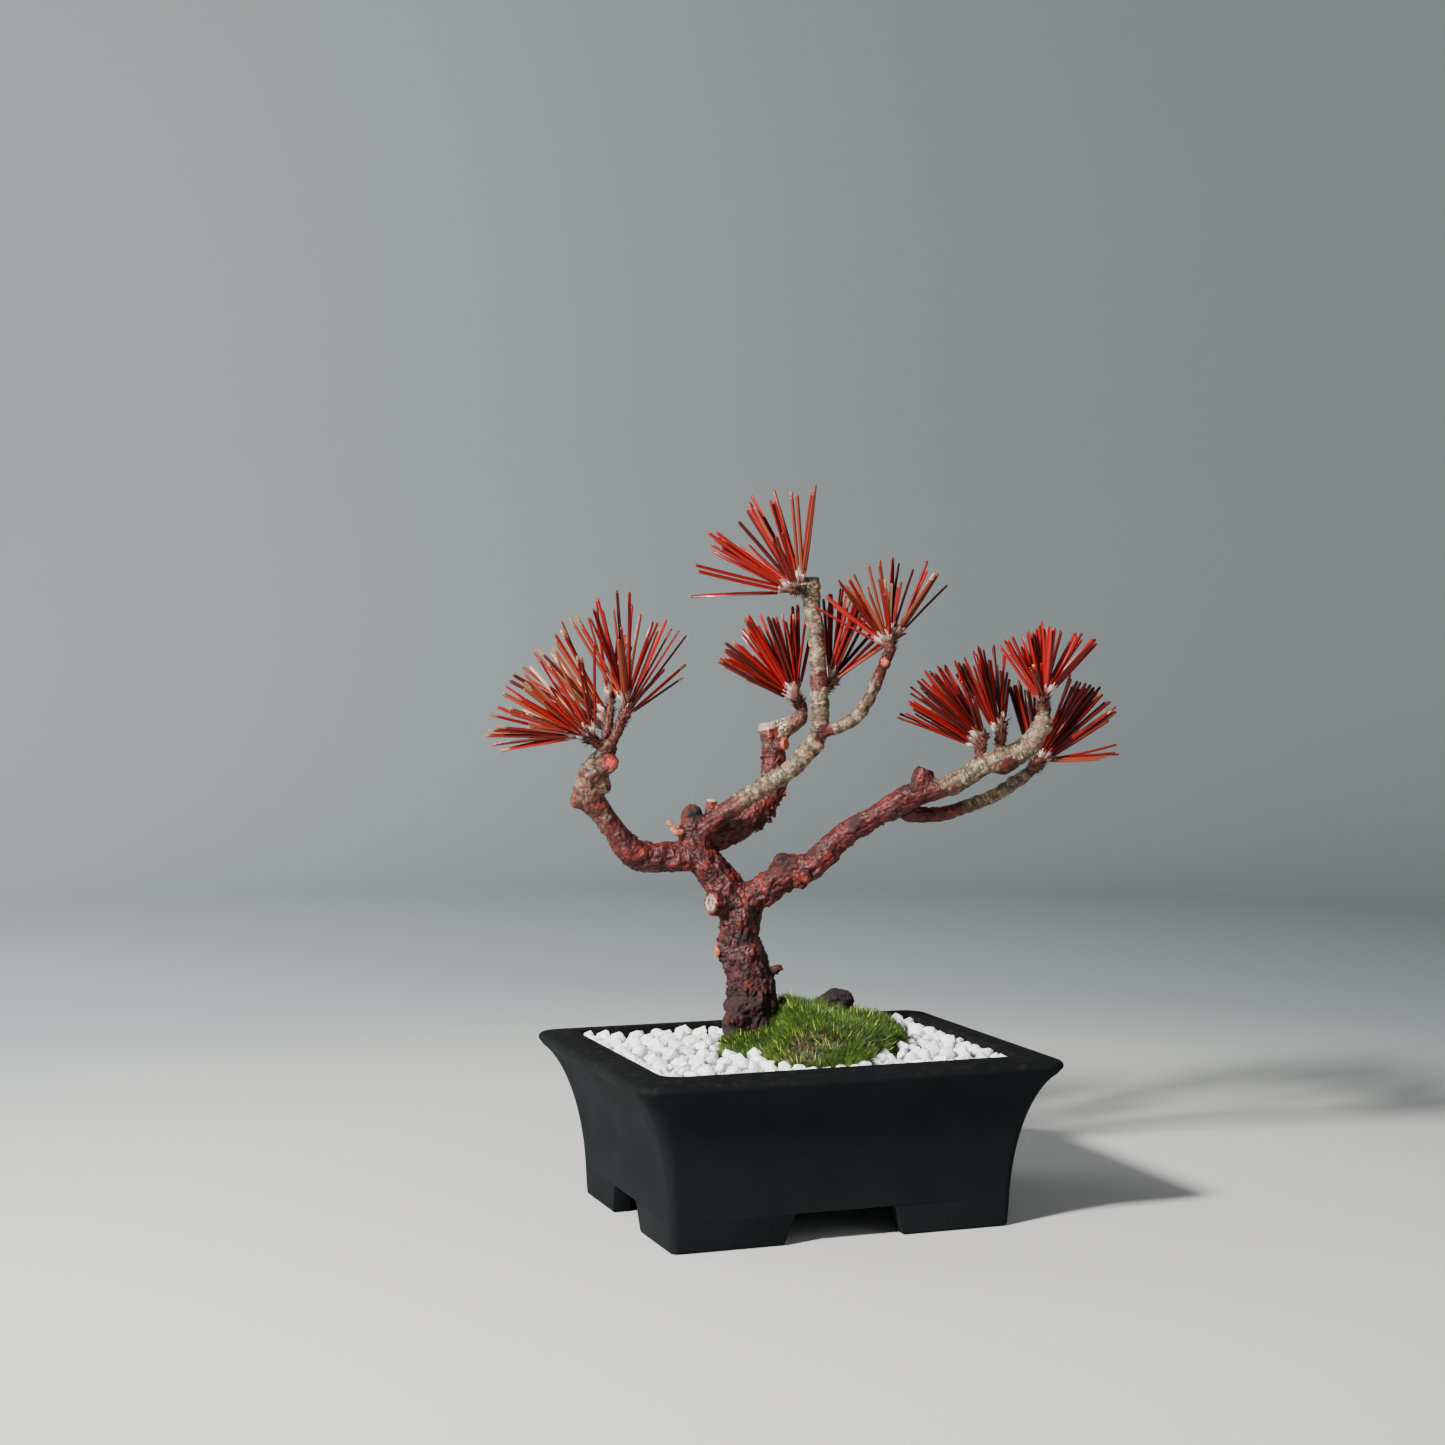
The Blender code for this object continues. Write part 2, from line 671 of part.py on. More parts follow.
def limb_pieces():
    """Every limb and stub as short straight pieces, each with its name and its largest radius."""
    pieces = []
    for name, stations in LIMBS.items():
        for line in (stations, *STUBS.get(name, ())):
            path = smooth_path(line, PIECE_LENGTH)
            for (a, radius), (b, next_radius) in zip(path, path[1:]):
                pieces.append((a, b, max(radius, next_radius) * (1 + LUMPS), name))
    return pieces


def heading_vector(heading, lean):
    """A direction in the pot's frame from degrees over the tree's face and degrees behind it."""
    turn, tip = math.radians(heading), math.radians(lean)
    flat = math.cos(tip)
    return place(flat * math.cos(turn), math.sin(tip), flat * math.sin(turn)) - place(0, 0, 0)


def keeps_clear(foot, tip, limbs, others):
    """True where a pair stays inside the crown, off every limb and off the other masses."""
    if abs(tip.x) > CROWN_HALF_WIDTH or abs(tip.y) > CROWN_HALF_DEPTH:
        return False
    for a, b, radius, _ in limbs:
        if segment_distance(foot, tip, a, b) < radius + BLADE_RADIUS + CLEARANCE:
            return False
    return all(segment_distance(foot, tip, a, b) > 2 * BLADE_RADIUS + CLEARANCE for a, b in others)


def grow_tuft(name, limbs, others):
    """The pairs of one mass, as straight lines from the stem. A pair that would leave the crown or
    touch a limb or another mass is drawn again a few times, and is left out if it still would."""
    (root, end, _, length), bunches = TUFTS[name]
    root, end = place(*root), place(*end)
    rng = random.Random(name)
    pairs = []
    for order, (heading, lean, count) in enumerate(bunches):
        start = root.lerp(end, FIRST_BUNCH + (1 - FIRST_BUNCH) * order / (len(bunches) - 1))
        for _ in range(count):
            for _ in range(TRIES):
                away = heading_vector(
                    heading + rng.uniform(-BUNCH_SPREAD, BUNCH_SPREAD),
                    lean + rng.uniform(-BUNCH_LEAN_SPREAD, BUNCH_LEAN_SPREAD),
                )
                tip = start + away * (SHEATH_LENGTH + length * rng.uniform(*LENGTH_SPREAD))
                if keeps_clear(start + away * BARE_FOOT, tip, limbs, others):
                    pairs.append((start, tip))
                    break
    return pairs


def tuft_solid(name, pairs, limbs, cutters):
    """A stem with its blades fused on, cut back to the surface of the limb that carries it."""
    (root, end, radius, _), _ = TUFTS[name]
    root, end = place(*root), place(*end)
    tuft = ringed_solid(name, tube_rings([(root, radius), (end, radius)], STEM_SIDES))
    blades = []
    for start, tip in pairs:
        line = [(start, BLADE_RADIUS), (tip, BLADE_RADIUS * BLADE_TAPER)]
        blades.append(ringed_solid("blade", tube_rings(line, 3)))
    boolean(tuft, "UNION", blades, solvers=("MANIFOLD", "EXACT"))
    near = set()
    for a, b, reach, limb in limbs:
        if segment_distance(root, end, a, b) < reach + radius + BARE_FOOT:
            near.add(limb)
    for limb in sorted(near):
        boolean(tuft, "DIFFERENCE", [copy_of(cutters[limb])])
    return tuft


def make_tufts(cutters):
    limbs = limb_pieces()
    stems = {}
    for name, ((root, end, _, _), _) in TUFTS.items():
        root, end = place(*root), place(*end)
        stems[name] = (root.lerp(end, STEM_BEYOND_BOUGH), end)
    made = {}
    others = []
    for name in TUFTS:
        foreign_stems = [stem for other, stem in stems.items() if other != name]
        pairs = grow_tuft(name, limbs, others + foreign_stems)
        made[name] = tuft_solid(name, pairs, limbs, cutters)
        others += pairs
    return made


def main():
    clear_scene()
    materials = make_materials()
    cutters = {name: limb_solid(name, GAP) for name in LIMBS}
    limbs = make_limbs(cutters)
    tufts = make_tufts(cutters)
    moss = make_moss()
    surface_root = surface_root_solid()
    gravel = make_gravel()
    for bed in (moss, gravel):
        boolean(bed, "DIFFERENCE", [copy_of(cutters["trunk"]), surface_root_solid(GAP)])
    for cutter in cutters.values():
        remove(cutter)
    red_limbs = [limb for name, limb in limbs.items() if name not in GREY_LIMBS]
    dressed = {
        "black_glaze": [make_pot()],
        "dark_soil": [make_soil()],
        "white_stone": [gravel],
        "green_moss": [moss],
        "red_bark": red_limbs + [surface_root],
        "grey_bark": [limbs[name] for name in GREY_LIMBS],
        "red_needles": list(tufts.values()),
    }
    for material, objects in dressed.items():
        for obj in objects:
            obj.data.materials.clear()
            obj.data.materials.append(materials[material])


main()
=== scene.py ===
"""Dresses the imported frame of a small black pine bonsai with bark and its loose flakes, clipped red
needles in papery sheaths, white pebbles, moss and a matt black pot.

Sizes are in millimetres, as in the part's source, and MM turns them into metres. The tree has a face
of its own, turned a little to the pot's left: its limbs and tufts are placed by (across, behind,
height) on that face, by the same rule as in the source.
"""

import json
import math
import random

import bmesh
import bpy
import numpy as np
from mathutils import Matrix, Vector, noise

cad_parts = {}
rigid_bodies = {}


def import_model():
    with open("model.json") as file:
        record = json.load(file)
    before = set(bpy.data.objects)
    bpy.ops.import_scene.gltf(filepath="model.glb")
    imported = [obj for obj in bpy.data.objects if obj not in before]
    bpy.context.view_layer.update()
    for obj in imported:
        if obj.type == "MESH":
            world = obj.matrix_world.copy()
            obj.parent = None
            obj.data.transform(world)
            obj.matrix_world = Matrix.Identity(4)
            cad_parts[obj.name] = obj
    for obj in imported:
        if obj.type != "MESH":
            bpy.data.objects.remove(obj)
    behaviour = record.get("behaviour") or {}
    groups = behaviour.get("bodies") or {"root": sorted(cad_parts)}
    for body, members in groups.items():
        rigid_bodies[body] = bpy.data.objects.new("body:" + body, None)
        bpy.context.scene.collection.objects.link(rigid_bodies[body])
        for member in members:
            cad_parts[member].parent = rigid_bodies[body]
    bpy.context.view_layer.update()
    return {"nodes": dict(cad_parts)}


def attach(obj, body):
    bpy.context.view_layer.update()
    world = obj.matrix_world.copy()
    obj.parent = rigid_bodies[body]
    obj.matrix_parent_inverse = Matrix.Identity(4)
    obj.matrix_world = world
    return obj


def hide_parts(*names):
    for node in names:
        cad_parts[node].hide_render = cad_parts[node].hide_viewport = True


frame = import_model()

MM = 0.001
PER_METRE = 1000.0

# Pot: sizes as in the source, and how finely it is curved
BASE_HALF = (80.0, 61.5)
BASE_CORNER = 3.5
CORNER_GROWTH = 0.325
FLARE = 20.0
FLARE_START = 15.0
FLARE_RADIUS = 57.0
WALL_LEAN = 0.05
SIDE_FLARE = 0.95
LIP_HEIGHT = 73.3
LIP_ROUND = 2.2
LIP_ANGLES = (-50, 85)
LIP_STEPS = 9
WALL_TOP = 69.8
RIM_HEIGHT = 77.0
MOUTH_HALF = (84.0, 64.5)
MOUTH_CORNER = 9.0
MOUTH_ROUND = 1.5
MOUTH_ROUNDING = ((1.0, 0.0), (0.5, 0.1), (0.13, 0.4))
MOUTH_STRAIGHT = 60.0
FLOOR_HALF = (74.0, 55.5)
FLOOR_TOP = 20.0
SKIRT = 8.0
SKIRT_CORNER = 5.0
RECESS_TOP = 14.5
FOOT_ROUND = 1.5
FOOT_STEPS = 3
NOTCH_HEIGHT = 13.5
NOTCH_LEAN = 4.0
NOTCH_ROUND = 2.5
FRONT_NOTCH_HALF = 28.5
SIDE_NOTCH_HALF = 20.0
CORNER_POINTS = 14
NOTCH_ROUND_STEPS = 5
WALL_STEPS = 26
WALL_CROWDING = 1.6
EDGE_SOFTNESS = 0.45
SOFTENED_FROM = math.radians(50.0)

# Moss and gravel, as in the source
SOIL_TOP = 66.0
STONE_WIDTH = (5.2, 10.5)
STONE_THROWS = 5000
STONE_MARGIN = 6.0
STONE_TOP = 72.4
TOP_BY_WIDTH = 0.47
MOSS_CREST = (7.0, 18.0)
MOSS_MIDDLE = (9.0, -4.0)
MOSS_RADIUS = 41.0
MOSS_LOBE = 9.0
MOSS_LOBE_TURN = math.radians(54.0)
MOSS_RAGGED = 1.5
MOSS_EDGE = 73.5
MOSS_RISE = 21.5
TRUNK_SIDE = math.radians(190.0)
MOSS_RINGS = 30
MOSS_SIDES = 110
MOSS_RUFFLE = 1.4
RUFFLE_SIZE = 6.0
CUSHION_INSET = 1.0
LEAF_ROOM = 1.4
SLOPE_SIDE = math.radians(-10.0)
SLOPE_DROP = 5.0
CLUMP_SIZE = 10.0
CLUMP_RISE = 3.4

# Tree, as in the source. Limbs and stubs go through stations of (across, behind, height, radius).
TREE_TURN = math.radians(-20.4)
TREE_FOOT = (-15.6, 26.6)
LUMPS = 0.07
PIECE_LENGTH = 9.0

LIMBS = {
    "trunk": (
        (4, 0, 66, 13.5), (4, 0, 78, 12), (5, 0, 92, 12), (4, 0, 104, 10.6), (-1, 0, 121, 9),
        (-1, 0, 134, 9.8), (-9, 0, 148, 8), (-17, 0, 158, 7.6), (-22, -1, 168, 6.6),
        (-23, -1, 182, 4.2),
    ),
    "left_bough_lower": (
        (-19, 0, 160, 6.8), (-33, -3, 160, 6.5), (-44, -6, 160, 6.6), (-52, -9, 164, 6.2),
        (-58, -11, 172, 5.1),
    ),
    "left_bough_upper": (
        (-57, -11, 171, 4.9), (-63, -13, 179, 4.9), (-70, -15, 191, 7.0), (-66, -17, 202, 6.0),
        (-60, -19, 213, 3.4),
    ),
    "right_bough": (
        (2, 0, 139, 7.6), (14, -2, 147, 7.0), (23, -4, 154, 7.4), (33, -6, 157, 6.8), (46, -8, 170, 5.5),
        (63, -12, 181, 4.8), (73, -13, 187, 5.9), (82, -15, 192, 5.4),
    ),
    "rear_bough": (
        (-18, 3, 164, 5.2), (-2, 9, 173, 6.3), (7, 13, 181, 7.0), (14, 16, 190, 6.4),
        (15, 18, 206, 5.3), (12, 18, 222, 4.3),
    ),
    "front_bough": (
        (-21, -2, 169, 4.6), (-9, -7, 180, 4.4), (3, -11, 189, 4.1), (20, -14, 200, 3.9),
        (30, -16, 210, 4.1), (35, -17, 218, 4.1),
    ),
    "top_branch": (
        (35, -17, 217, 4.0), (35, -17, 234, 3.9), (34, -15, 256, 3.1), (32, -13, 272, 3.3),
        (31, -13, 280, 3.8), (31, -12, 289, 3.0),
    ),
    "side_branch": (
        (36, -17, 219, 2.8), (46, -20, 222, 2.7), (54, -23, 229, 2.7), (60, -24, 241, 2.5),
        (66, -24, 255, 2.1),
    ),
    "rear_twig": (
        (15, 18, 211, 3.4), (21, 17, 219, 3.7), (27, 14, 224, 3.6), (28, 12, 230, 2.4),
    ),
    "upper_right_branch": (
        (80, -15, 191, 5.0), (89, -16, 193, 4.3), (99, -17, 197, 4.5), (112, -20, 205, 4.2),
        (119, -21, 206, 5.0), (131, -23, 215, 4.7), (137, -24, 227, 3.2),
    ),
    "lower_right_branch": (
        (70, -11, 185, 4.0), (79, -7, 181, 3.9), (93, -3, 181, 3.2), (114, -2, 188, 2.8),
        (131, -5, 199, 2.8),
    ),
}
SURFACE_ROOT = ((33, 6, 66, 5.0), (36, 7, 84, 5.0), (42, 8, 91, 5.2), (49, 9, 91, 5.4))

STUBS = {
    "trunk": (
        ((-4, -2, 138, 5.8), (-14.5, -9, 139.5, 5.1)),
        ((-6, -2, 117, 3.2), (-12, -3, 116, 2.2)),
        ((9, 0, 104, 3.0), (19, -1, 109, 1.4)),
        ((-26, -4, 173, 1.5), (-31, -6, 174, 1.1), (-34.5, -7, 177, 0.95)),
        ((-26, -5, 172, 1.5), (-30, -8, 171.5, 1.2), (-32.5, -8, 173.5, 1.0)),
    ),
    "left_bough_upper": (
        ((-64, -17, 202, 4.8), (-60, -26, 205, 4.3)),
    ),
    "right_bough": (
        ((14, -2, 148, 4.0), (16, -3, 157, 2.6)),
        ((29, -7, 156, 4.0), (29, -14, 151, 2.6)),
        ((80, -15, 192, 5.0), (84, -15, 202, 3.8)),
    ),
    "rear_bough": (
        ((15, 16, 211, 3.2), (21, 12, 212, 2.6)),
    ),
    "front_bough": (
        ((-15, -5, 176, 2.6), (-14, -6, 187, 2.0)),
    ),
    "side_branch": (
        ((64, -24, 250, 2.3), (64, -28, 251, 2.4)),
    ),
}

# Needles, as in the source. A tuft has the root, end and radius of its stem and the length of its
# needles, and then its bunches as (heading, lean, count) in degrees.
SHEATH_LENGTH = 7.0
BLADE_RADIUS = 1.3
BUNCH_SPREAD = 8.0
BUNCH_LEAN_SPREAD = 13.0
LENGTH_SPREAD = (0.86, 1.06)
FIRST_BUNCH = 0.55
STEM_BEYOND_BOUGH = 0.4
BARE_FOOT = 3.0
TRIES = 10
CLEARANCE = 0.5
CROWN_HALF_WIDTH = 137.0
CROWN_HALF_DEPTH = 79.0
TALL_PAIRS = {"needles_left_high": ((104, -4, 1.03), (95, -2, 1.06), (90, 4, 1.06))}
FILL_SHARE = 0.12
FILL_LENGTH = (0.5, 0.9)

TUFTS = {
    "needles_top": (
        ((31, -14, 286), (23, -18, 283), 1.9, 40),
        ((91, -10, 3), (103, -8, 3), (122, 5, 5), (138, 52, 3), (112, -48, 2), (154, -5, 5), (176, 0, 2)),
    ),
    "needles_left_low": (
        ((-62, -19, 211), (-72, -23, 217), 2.0, 37),
        ((98, -8, 2), (114, -8, 3), (132, -12, 5), (126, -48, 3), (148, -2, 5), (160, -42, 3), (160, 6, 4),
         (165, 40, 3), (172, 0, 5), (183, -3, 4)),
    ),
    "needles_left_high": (
        ((-60, -20, 212), (-52, -21, 231), 2.1, 43),
        ((60, 0, 3), (74, -4, 4), (40, 46, 3), (86, 6, 3), (100, 0, 4), (113, -12, 4), (88, -50, 2)),
    ),
    "needles_left_rear": (
        ((-63, -16, 204), (-61, -7, 230), 2.0, 42),
        ((147, 14, 4), (130, 14, 5), (118, 4, 4), (135, 44, 4), (80, 52, 4), (103, 16, 3)),
    ),
    "needles_middle": (
        ((28, 12, 229), (25, 9, 234), 2.3, 37),
        ((152, -4, 5), (143, 4, 5), (130, 0, 5), (138, 46, 4), (115, 6, 5), (98, 0, 4), (105, 50, 4),
         (86, 5, 3)),
    ),
    "needles_middle_right": (
        ((35, -16, 236), (41, -7, 242), 1.9, 37),
        ((32, 0, 2), (40, 12, 2), (70, 4, 4), (62, 44, 4), (84, 0, 4), (95, 40, 3)),
    ),
    "needles_side": (
        ((66, -24, 254), (67, -24, 260), 1.9, 32),
        ((150, 0, 4), (124, 4, 6), (130, 48, 3), (106, -24, 3), (98, -52, 3), (90, 2, 3), (80, 46, 4),
         (72, -4, 3), (53, 0, 4)),
    ),
    "needles_right_inner": (
        ((107, -19, 203), (110, -20, 218), 1.9, 33),
        ((160, 0, 3), (150, -4, 4), (150, 44, 3), (138, 2, 6), (124, -2, 5), (112, -50, 3), (114, 20, 3)),
    ),
    "needles_right_middle": (
        ((116, -20, 207), (119, -15, 223), 1.8, 35),
        ((114, 8, 4), (103, 10, 5), (120, 34, 2), (92, 32, 4), (80, 54, 3)),
    ),
    "needles_right_tip": (
        ((137, -24, 226), (136, -25, 235), 2.2, 29),
        ((123, -10, 6), (106, -6, 5), (112, -48, 3), (96, -4, 3), (84, 0, 4), (66, 20, 2), (57, -8, 4)),
    ),
    "needles_right_low": (
        ((131, -5, 199), (138, -6, 206), 2.3, 37),
        ((104, 22, 4), (86, 40, 4), (66, -8, 5), (56, 10, 4), (48, -16, 5), (36, -30, 4), (26, 14, 3),
         (8, -46, 3)),
    ),
}

# How far each limb's bark has weathered from dyed red to grey, from its root to its tip. Below 0 it is
# red and above 1 it is grey. Stubs and stems not named here have SIDE_GREY.
SIDE_GREY = (0.25, 0.05)
GREYING = {
    "trunk": (0.0, 0.05),
    "left_bough_lower": (0.02, 0.25),
    "left_bough_upper": (0.3, 0.6),
    "right_bough": (0.0, 0.12),
    "rear_bough": (-0.1, 0.42),
    "front_bough": (-0.4, 2.1),
    "top_branch": (0.85, 1.0),
    "side_branch": (1.3, 0.05),
    "rear_twig": (0.6, 0.45),
    "upper_right_branch": (0.2, 1.6),
    "lower_right_branch": (-0.7, 1.6),
    "surface_root": (0.0, 0.0),
    "left_bough_upper_stub": (0.6, 0.4),
    "needles_top_stem": (1.0, 0.6),
}

# Rounded knots and lobes on the limbs: (across, behind, height, radius)
KNOTS = (
    (-1, -9, 87, 6.4), (2, -8, 80, 5.0), (10, -7, 82, 5.2), (12, -2, 92, 4.4), (4, 8, 82, 6.0),
    (-6, -3, 109, 3.2), (-8, -2, 113, 2.6), (-7, -4, 133, 4.0), (-22, -4, 175, 4.4), (-23, -2, 180, 4.8),
    (-12, -2, 152, 5.0), (-37, -5, 157, 3.8), (-48, -8, 158, 3.6), (-44, -6, 165, 3.2),
    (-75, -17, 187, 4.0), (-64, -17, 194, 4.6), (-71, -18, 200, 4.4), (-67, -12, 186, 4.4),
    (19, -5, 158, 5.0), (27, -7, 150, 4.6), (33, -7, 162, 3.0), (38, -9, 160, 3.8), (12, -4, 142, 4.6),
    (76, -14, 190, 4.2), (69, -13, 181, 3.4), (52, -11, 177, 3.2), (86, -16, 196, 3.2),
    (7, 11, 175, 4.4), (-4, 8, 170, 4.2), (13, 15, 184, 4.6), (34, -18, 213, 3.4), (119, -21, 203, 3.6),
    (137, -24, 223, 3.9), (55, -23, 228, 2.2), (26, 14, 222, 3.0), (105, -19, 201, 2.8),
    (34, -17, 245, 2.0), (-57, -19, 221, 1.8), (39, 9, 88.5, 4.6), (44, 9, 92.3, 5.3), (48.5, 9, 92.3, 5.0),
    (36, -18, 238, 3.2), (33, -16, 252, 2.6), (32, -14, 270, 2.8), (32, -12, 285, 3.4), (94, -17, 194, 4.6),
    (126, -23, 209, 4.4), (-3, -9, 183, 3.8), (26, -15, 204, 3.4),
)

# How the sawn ends look: 0 is fresh red wood, 1 is weathered pale, and NO_CUT is under bark
NO_CUT = -1.0
STUB_AGES = {
    "trunk": (1.0, 0.35, NO_CUT, 0.5, 0.5),
    "left_bough_upper": (0.0,),
    "right_bough": (NO_CUT, 0.1, NO_CUT),
    "rear_bough": (0.35,),
    "front_bough": (0.8,),
    "side_branch": (0.15,),
}
LIMB_AGES = {"rear_bough": 0.75}

# Ends without bark for some way back: how far, by what the end looks like
CAP_LENGTHS = {0.35: 2.2, 0.5: 6.5, 0.75: 3.5, 0.8: 1.5}

# Where the bark is red among the grey, and where it is dark: (across, behind, height, radius, how far)
RED_SPOTS = (
    (37, -20, 218, 5.0, 0.9), (35, -17, 242, 6.5, 0.6), (121, -22, 205, 7.5, 0.75),
    (-60, -22, 207, 5.0, 0.8), (112, -20, 201, 3.0, 0.6), (34, -14, 262, 3.0, 0.5),
    (131, -23, 217, 3.5, 0.35),
)
DARK_SPOTS = (
    (52, -14, 177, 4.2, 0.85), (-22, -6, 181, 3.6, 1.3), (19, -9, 158, 6.5, 0.85),
    (33, -9, 163, 3.4, 0.85), (78, -17, 195, 4.0, 0.85), (-12, -4, 151, 5.0, 0.85),
    (9, 10, 172, 5.0, 0.85), (-71, -20, 202, 3.2, 0.85), (2, -9, 124, 4.5, 0.85),
    (-17, -6, 163, 4.0, 0.85), (44, 9, 92, 16.0, 2.0),
)

# The trunk also darkens from DARK_FOOT_TOP down, in full once it is DARK_FOOT_FADE lower
DARK_FOOT_TOP = 126.0
DARK_FOOT_FADE = 34.0

# Stems of the tufts: how much thicker at the root and thinner at the end, and their knobs
STEM_TAPER = (0.3, -0.2)
STEM_KNOBS = 9
STEM_KNOB_RADIUS = (0.9, 1.7)

# The skin over all the wood: how finely it is made, its lumps, and how far it swells so that smoothing
# leaves it full
SKIN_SIDES = 22
SKIN_SPACING = 1.6
SKIN_LUMP = 0.14
LUMP_SPACING = 5.5
SKIN_SWELL = 0.35
KNOT_FINENESS = 3
SKIN_VOXEL = 0.68
SKIN_SMOOTHING = 6

# How the skin is painted: by the nearest of many places along the wood, SKIN_BATCH points at a time.
# RUN_STEP keeps the grain of one limb apart from the next. A sawn end is cut within CUT_DEPTH of it and
# inside CUT_SHARE of its radius: its cut value goes from CUT_EDGE there to 1 at its middle. Where an end
# has lost its bark the value is CAP_CUT.
SAMPLE_SPACING = 1.5
RUN_STEP = 37.0
SKIN_BATCH = 4000
NEAREST_SOFTNESS = 14.0
CUT_DEPTH = 0.6
CUT_SHARE = 0.86
CUT_EDGE = 0.4
CAP_CUT = 0.8


def place(across, behind, height):
    """A place on the tree's own face, as a place in the pot's frame, both in millimetres."""
    cos, sin = math.cos(TREE_TURN), math.sin(TREE_TURN)
    x = TREE_FOOT[0] + across * cos - behind * sin
    y = TREE_FOOT[1] + across * sin + behind * cos
    return Vector((x, y, height))


def heading_vector(heading, lean):
    """A direction in the pot's frame from degrees over the tree's face and degrees behind it."""
    turn, tip = math.radians(heading), math.radians(lean)
    flat = math.cos(tip)
    return place(flat * math.cos(turn), math.sin(tip), flat * math.sin(turn)) - place(0, 0, 0)


def smooth_path(stations, spacing):
    """Centres and radii along a smooth line through a limb's stations."""
    places = [place(*station[:3]) for station in stations]
    radii = [station[3] for station in stations]
    path = []
    for i in range(len(places) - 1):
        before = max(i - 1, 0)
        after = min(i + 2, len(places) - 1)
        start, end = places[i], places[i + 1]
        out = (end - places[before]) / (2 if i else 1)
        into = (places[after] - start) / (2 if i + 2 < len(places) else 1)
        steps = max(1, round((end - start).length / spacing))
        for step in range(steps):
            t = step / steps
            point = (
                start * (2 * t**3 - 3 * t**2 + 1)
                + out * (t**3 - 2 * t**2 + t)
                + end * (3 * t**2 - 2 * t**3)
                + into * (t**3 - t**2)
            )
            path.append((point, radii[i] + (radii[i + 1] - radii[i]) * t))
    path.append((places[-1], radii[-1]))
    return path


def path_frames(path):
    """(centre, radius, along, side, upright) at each point of a path, turned as little as may be."""
    frames = []
    upright = None
    for i, (centre, radius) in enumerate(path):
        ahead = path[min(i + 1, len(path) - 1)][0]
        behind = path[max(i - 1, 0)][0]
        along = (ahead - behind).normalized()
        if upright is None:
            upright = Vector((0, 0, 1)) if abs(along.z) < 0.8 else Vector((0, 1, 0))
        side = along.cross(upright).normalized()
        upright = side.cross(along).normalized()
        frames.append((centre, radius, along, side, upright))
    return frames


def segment_distance(a, b, c, d):
    """The least distance between the straight pieces a to b and c to d."""
    u, v, w = b - a, d - c, a - c
    uu, uv, vv, uw, vw = u.dot(u), u.dot(v), v.dot(v), u.dot(w), v.dot(w)
    det = uu * vv - uv * uv
    s = min(1.0, max(0.0, (uv * vw - vv * uw) / det)) if det > 1e-9 else 0.0
    t = min(1.0, max(0.0, (uv * s + vw) / vv))
    s = min(1.0, max(0.0, (uv * t - uw) / uu))
    return (w + u * s - v * t).length


def limb_pieces():
    """Every limb and stub as short straight pieces, each with its largest radius."""
    pieces = []
    for name, stations in LIMBS.items():
        for line in (stations, *STUBS.get(name, ())):
            path = smooth_path(line, PIECE_LENGTH)
            for (a, radius), (b, next_radius) in zip(path, path[1:]):
                pieces.append((a, b, max(radius, next_radius) * (1 + LUMPS)))
    return pieces


def keeps_clear(foot, tip, limbs, others):
    """True where a pair stays inside the crown, off every limb and off the other masses."""
    if abs(tip.x) > CROWN_HALF_WIDTH or abs(tip.y) > CROWN_HALF_DEPTH:
        return False
    for a, b, radius in limbs:
        if segment_distance(foot, tip, a, b) < radius + BLADE_RADIUS + CLEARANCE:
            return False
    return all(segment_distance(foot, tip, a, b) > 2 * BLADE_RADIUS + CLEARANCE for a, b in others)


def grow_tuft(name, limbs, others, rng, fullness=1.0, length_spread=LENGTH_SPREAD):
    """The pairs of needles of one mass, as straight lines from its stem, by the source's rule."""
    (root, end, _, length), bunches = TUFTS[name]
    root, end = place(*root), place(*end)
    pairs = []
    for order, (heading, lean, count) in enumerate(bunches):
        start = root.lerp(end, FIRST_BUNCH + (1 - FIRST_BUNCH) * order / (len(bunches) - 1))
        for _ in range(round(count * fullness)):
            for _ in range(TRIES):
                away = heading_vector(
                    heading + rng.uniform(-BUNCH_SPREAD, BUNCH_SPREAD),
                    lean + rng.uniform(-BUNCH_LEAN_SPREAD, BUNCH_LEAN_SPREAD),
                )
                tip = start + away * (SHEATH_LENGTH + length * rng.uniform(*length_spread))
                if keeps_clear(start + away * BARE_FOOT, tip, limbs, others):
                    pairs.append((start, tip))
                    break
    return pairs


def tuft_stems():
    """Each tuft's name, the two ends of its stem in the pot's frame, and the stem's radius."""
    for name, ((root, end, radius, _), _) in TUFTS.items():
        yield name, place(*root), place(*end), radius


def grow_crown():
    """The pairs of every mass: those of the source, a few that stand tall above them, and shorter
    ones that fill in between them."""
    limbs = limb_pieces()
    stems = {name: (root.lerp(end, STEM_BEYOND_BOUGH), end) for name, root, end, _ in tuft_stems()}
    crown = {name: [] for name in TUFTS}

    def grow(name, seed, *fill):
        """Adds pairs to a tuft, clear of every other tuft as far as that has grown."""
        others = [line for other in TUFTS if other != name for line in (stems[other], *crown[other])]
        crown[name] += grow_tuft(name, limbs, others, random.Random(seed), *fill)

    for name in TUFTS:
        grow(name, name)
    for name, tall in TALL_PAIRS.items():
        end, length = stems[name][1], TUFTS[name][0][3]
        for heading, lean, share in tall:
            away = heading_vector(heading, lean)
            crown[name].append((end, end + away * (SHEATH_LENGTH + length * share)))
    for name in TUFTS:
        grow(name, f"{name} fill", FILL_SHARE, FILL_LENGTH)
    return crown


def random_vector(draw, a, b):
    """A vector of three draws, each with the same two limits, or the same middle and spread."""
    return Vector([draw(a, b) for _ in range(3)])


def linked(obj):
    """An object, put in the scene."""
    bpy.context.scene.collection.objects.link(obj)
    return obj


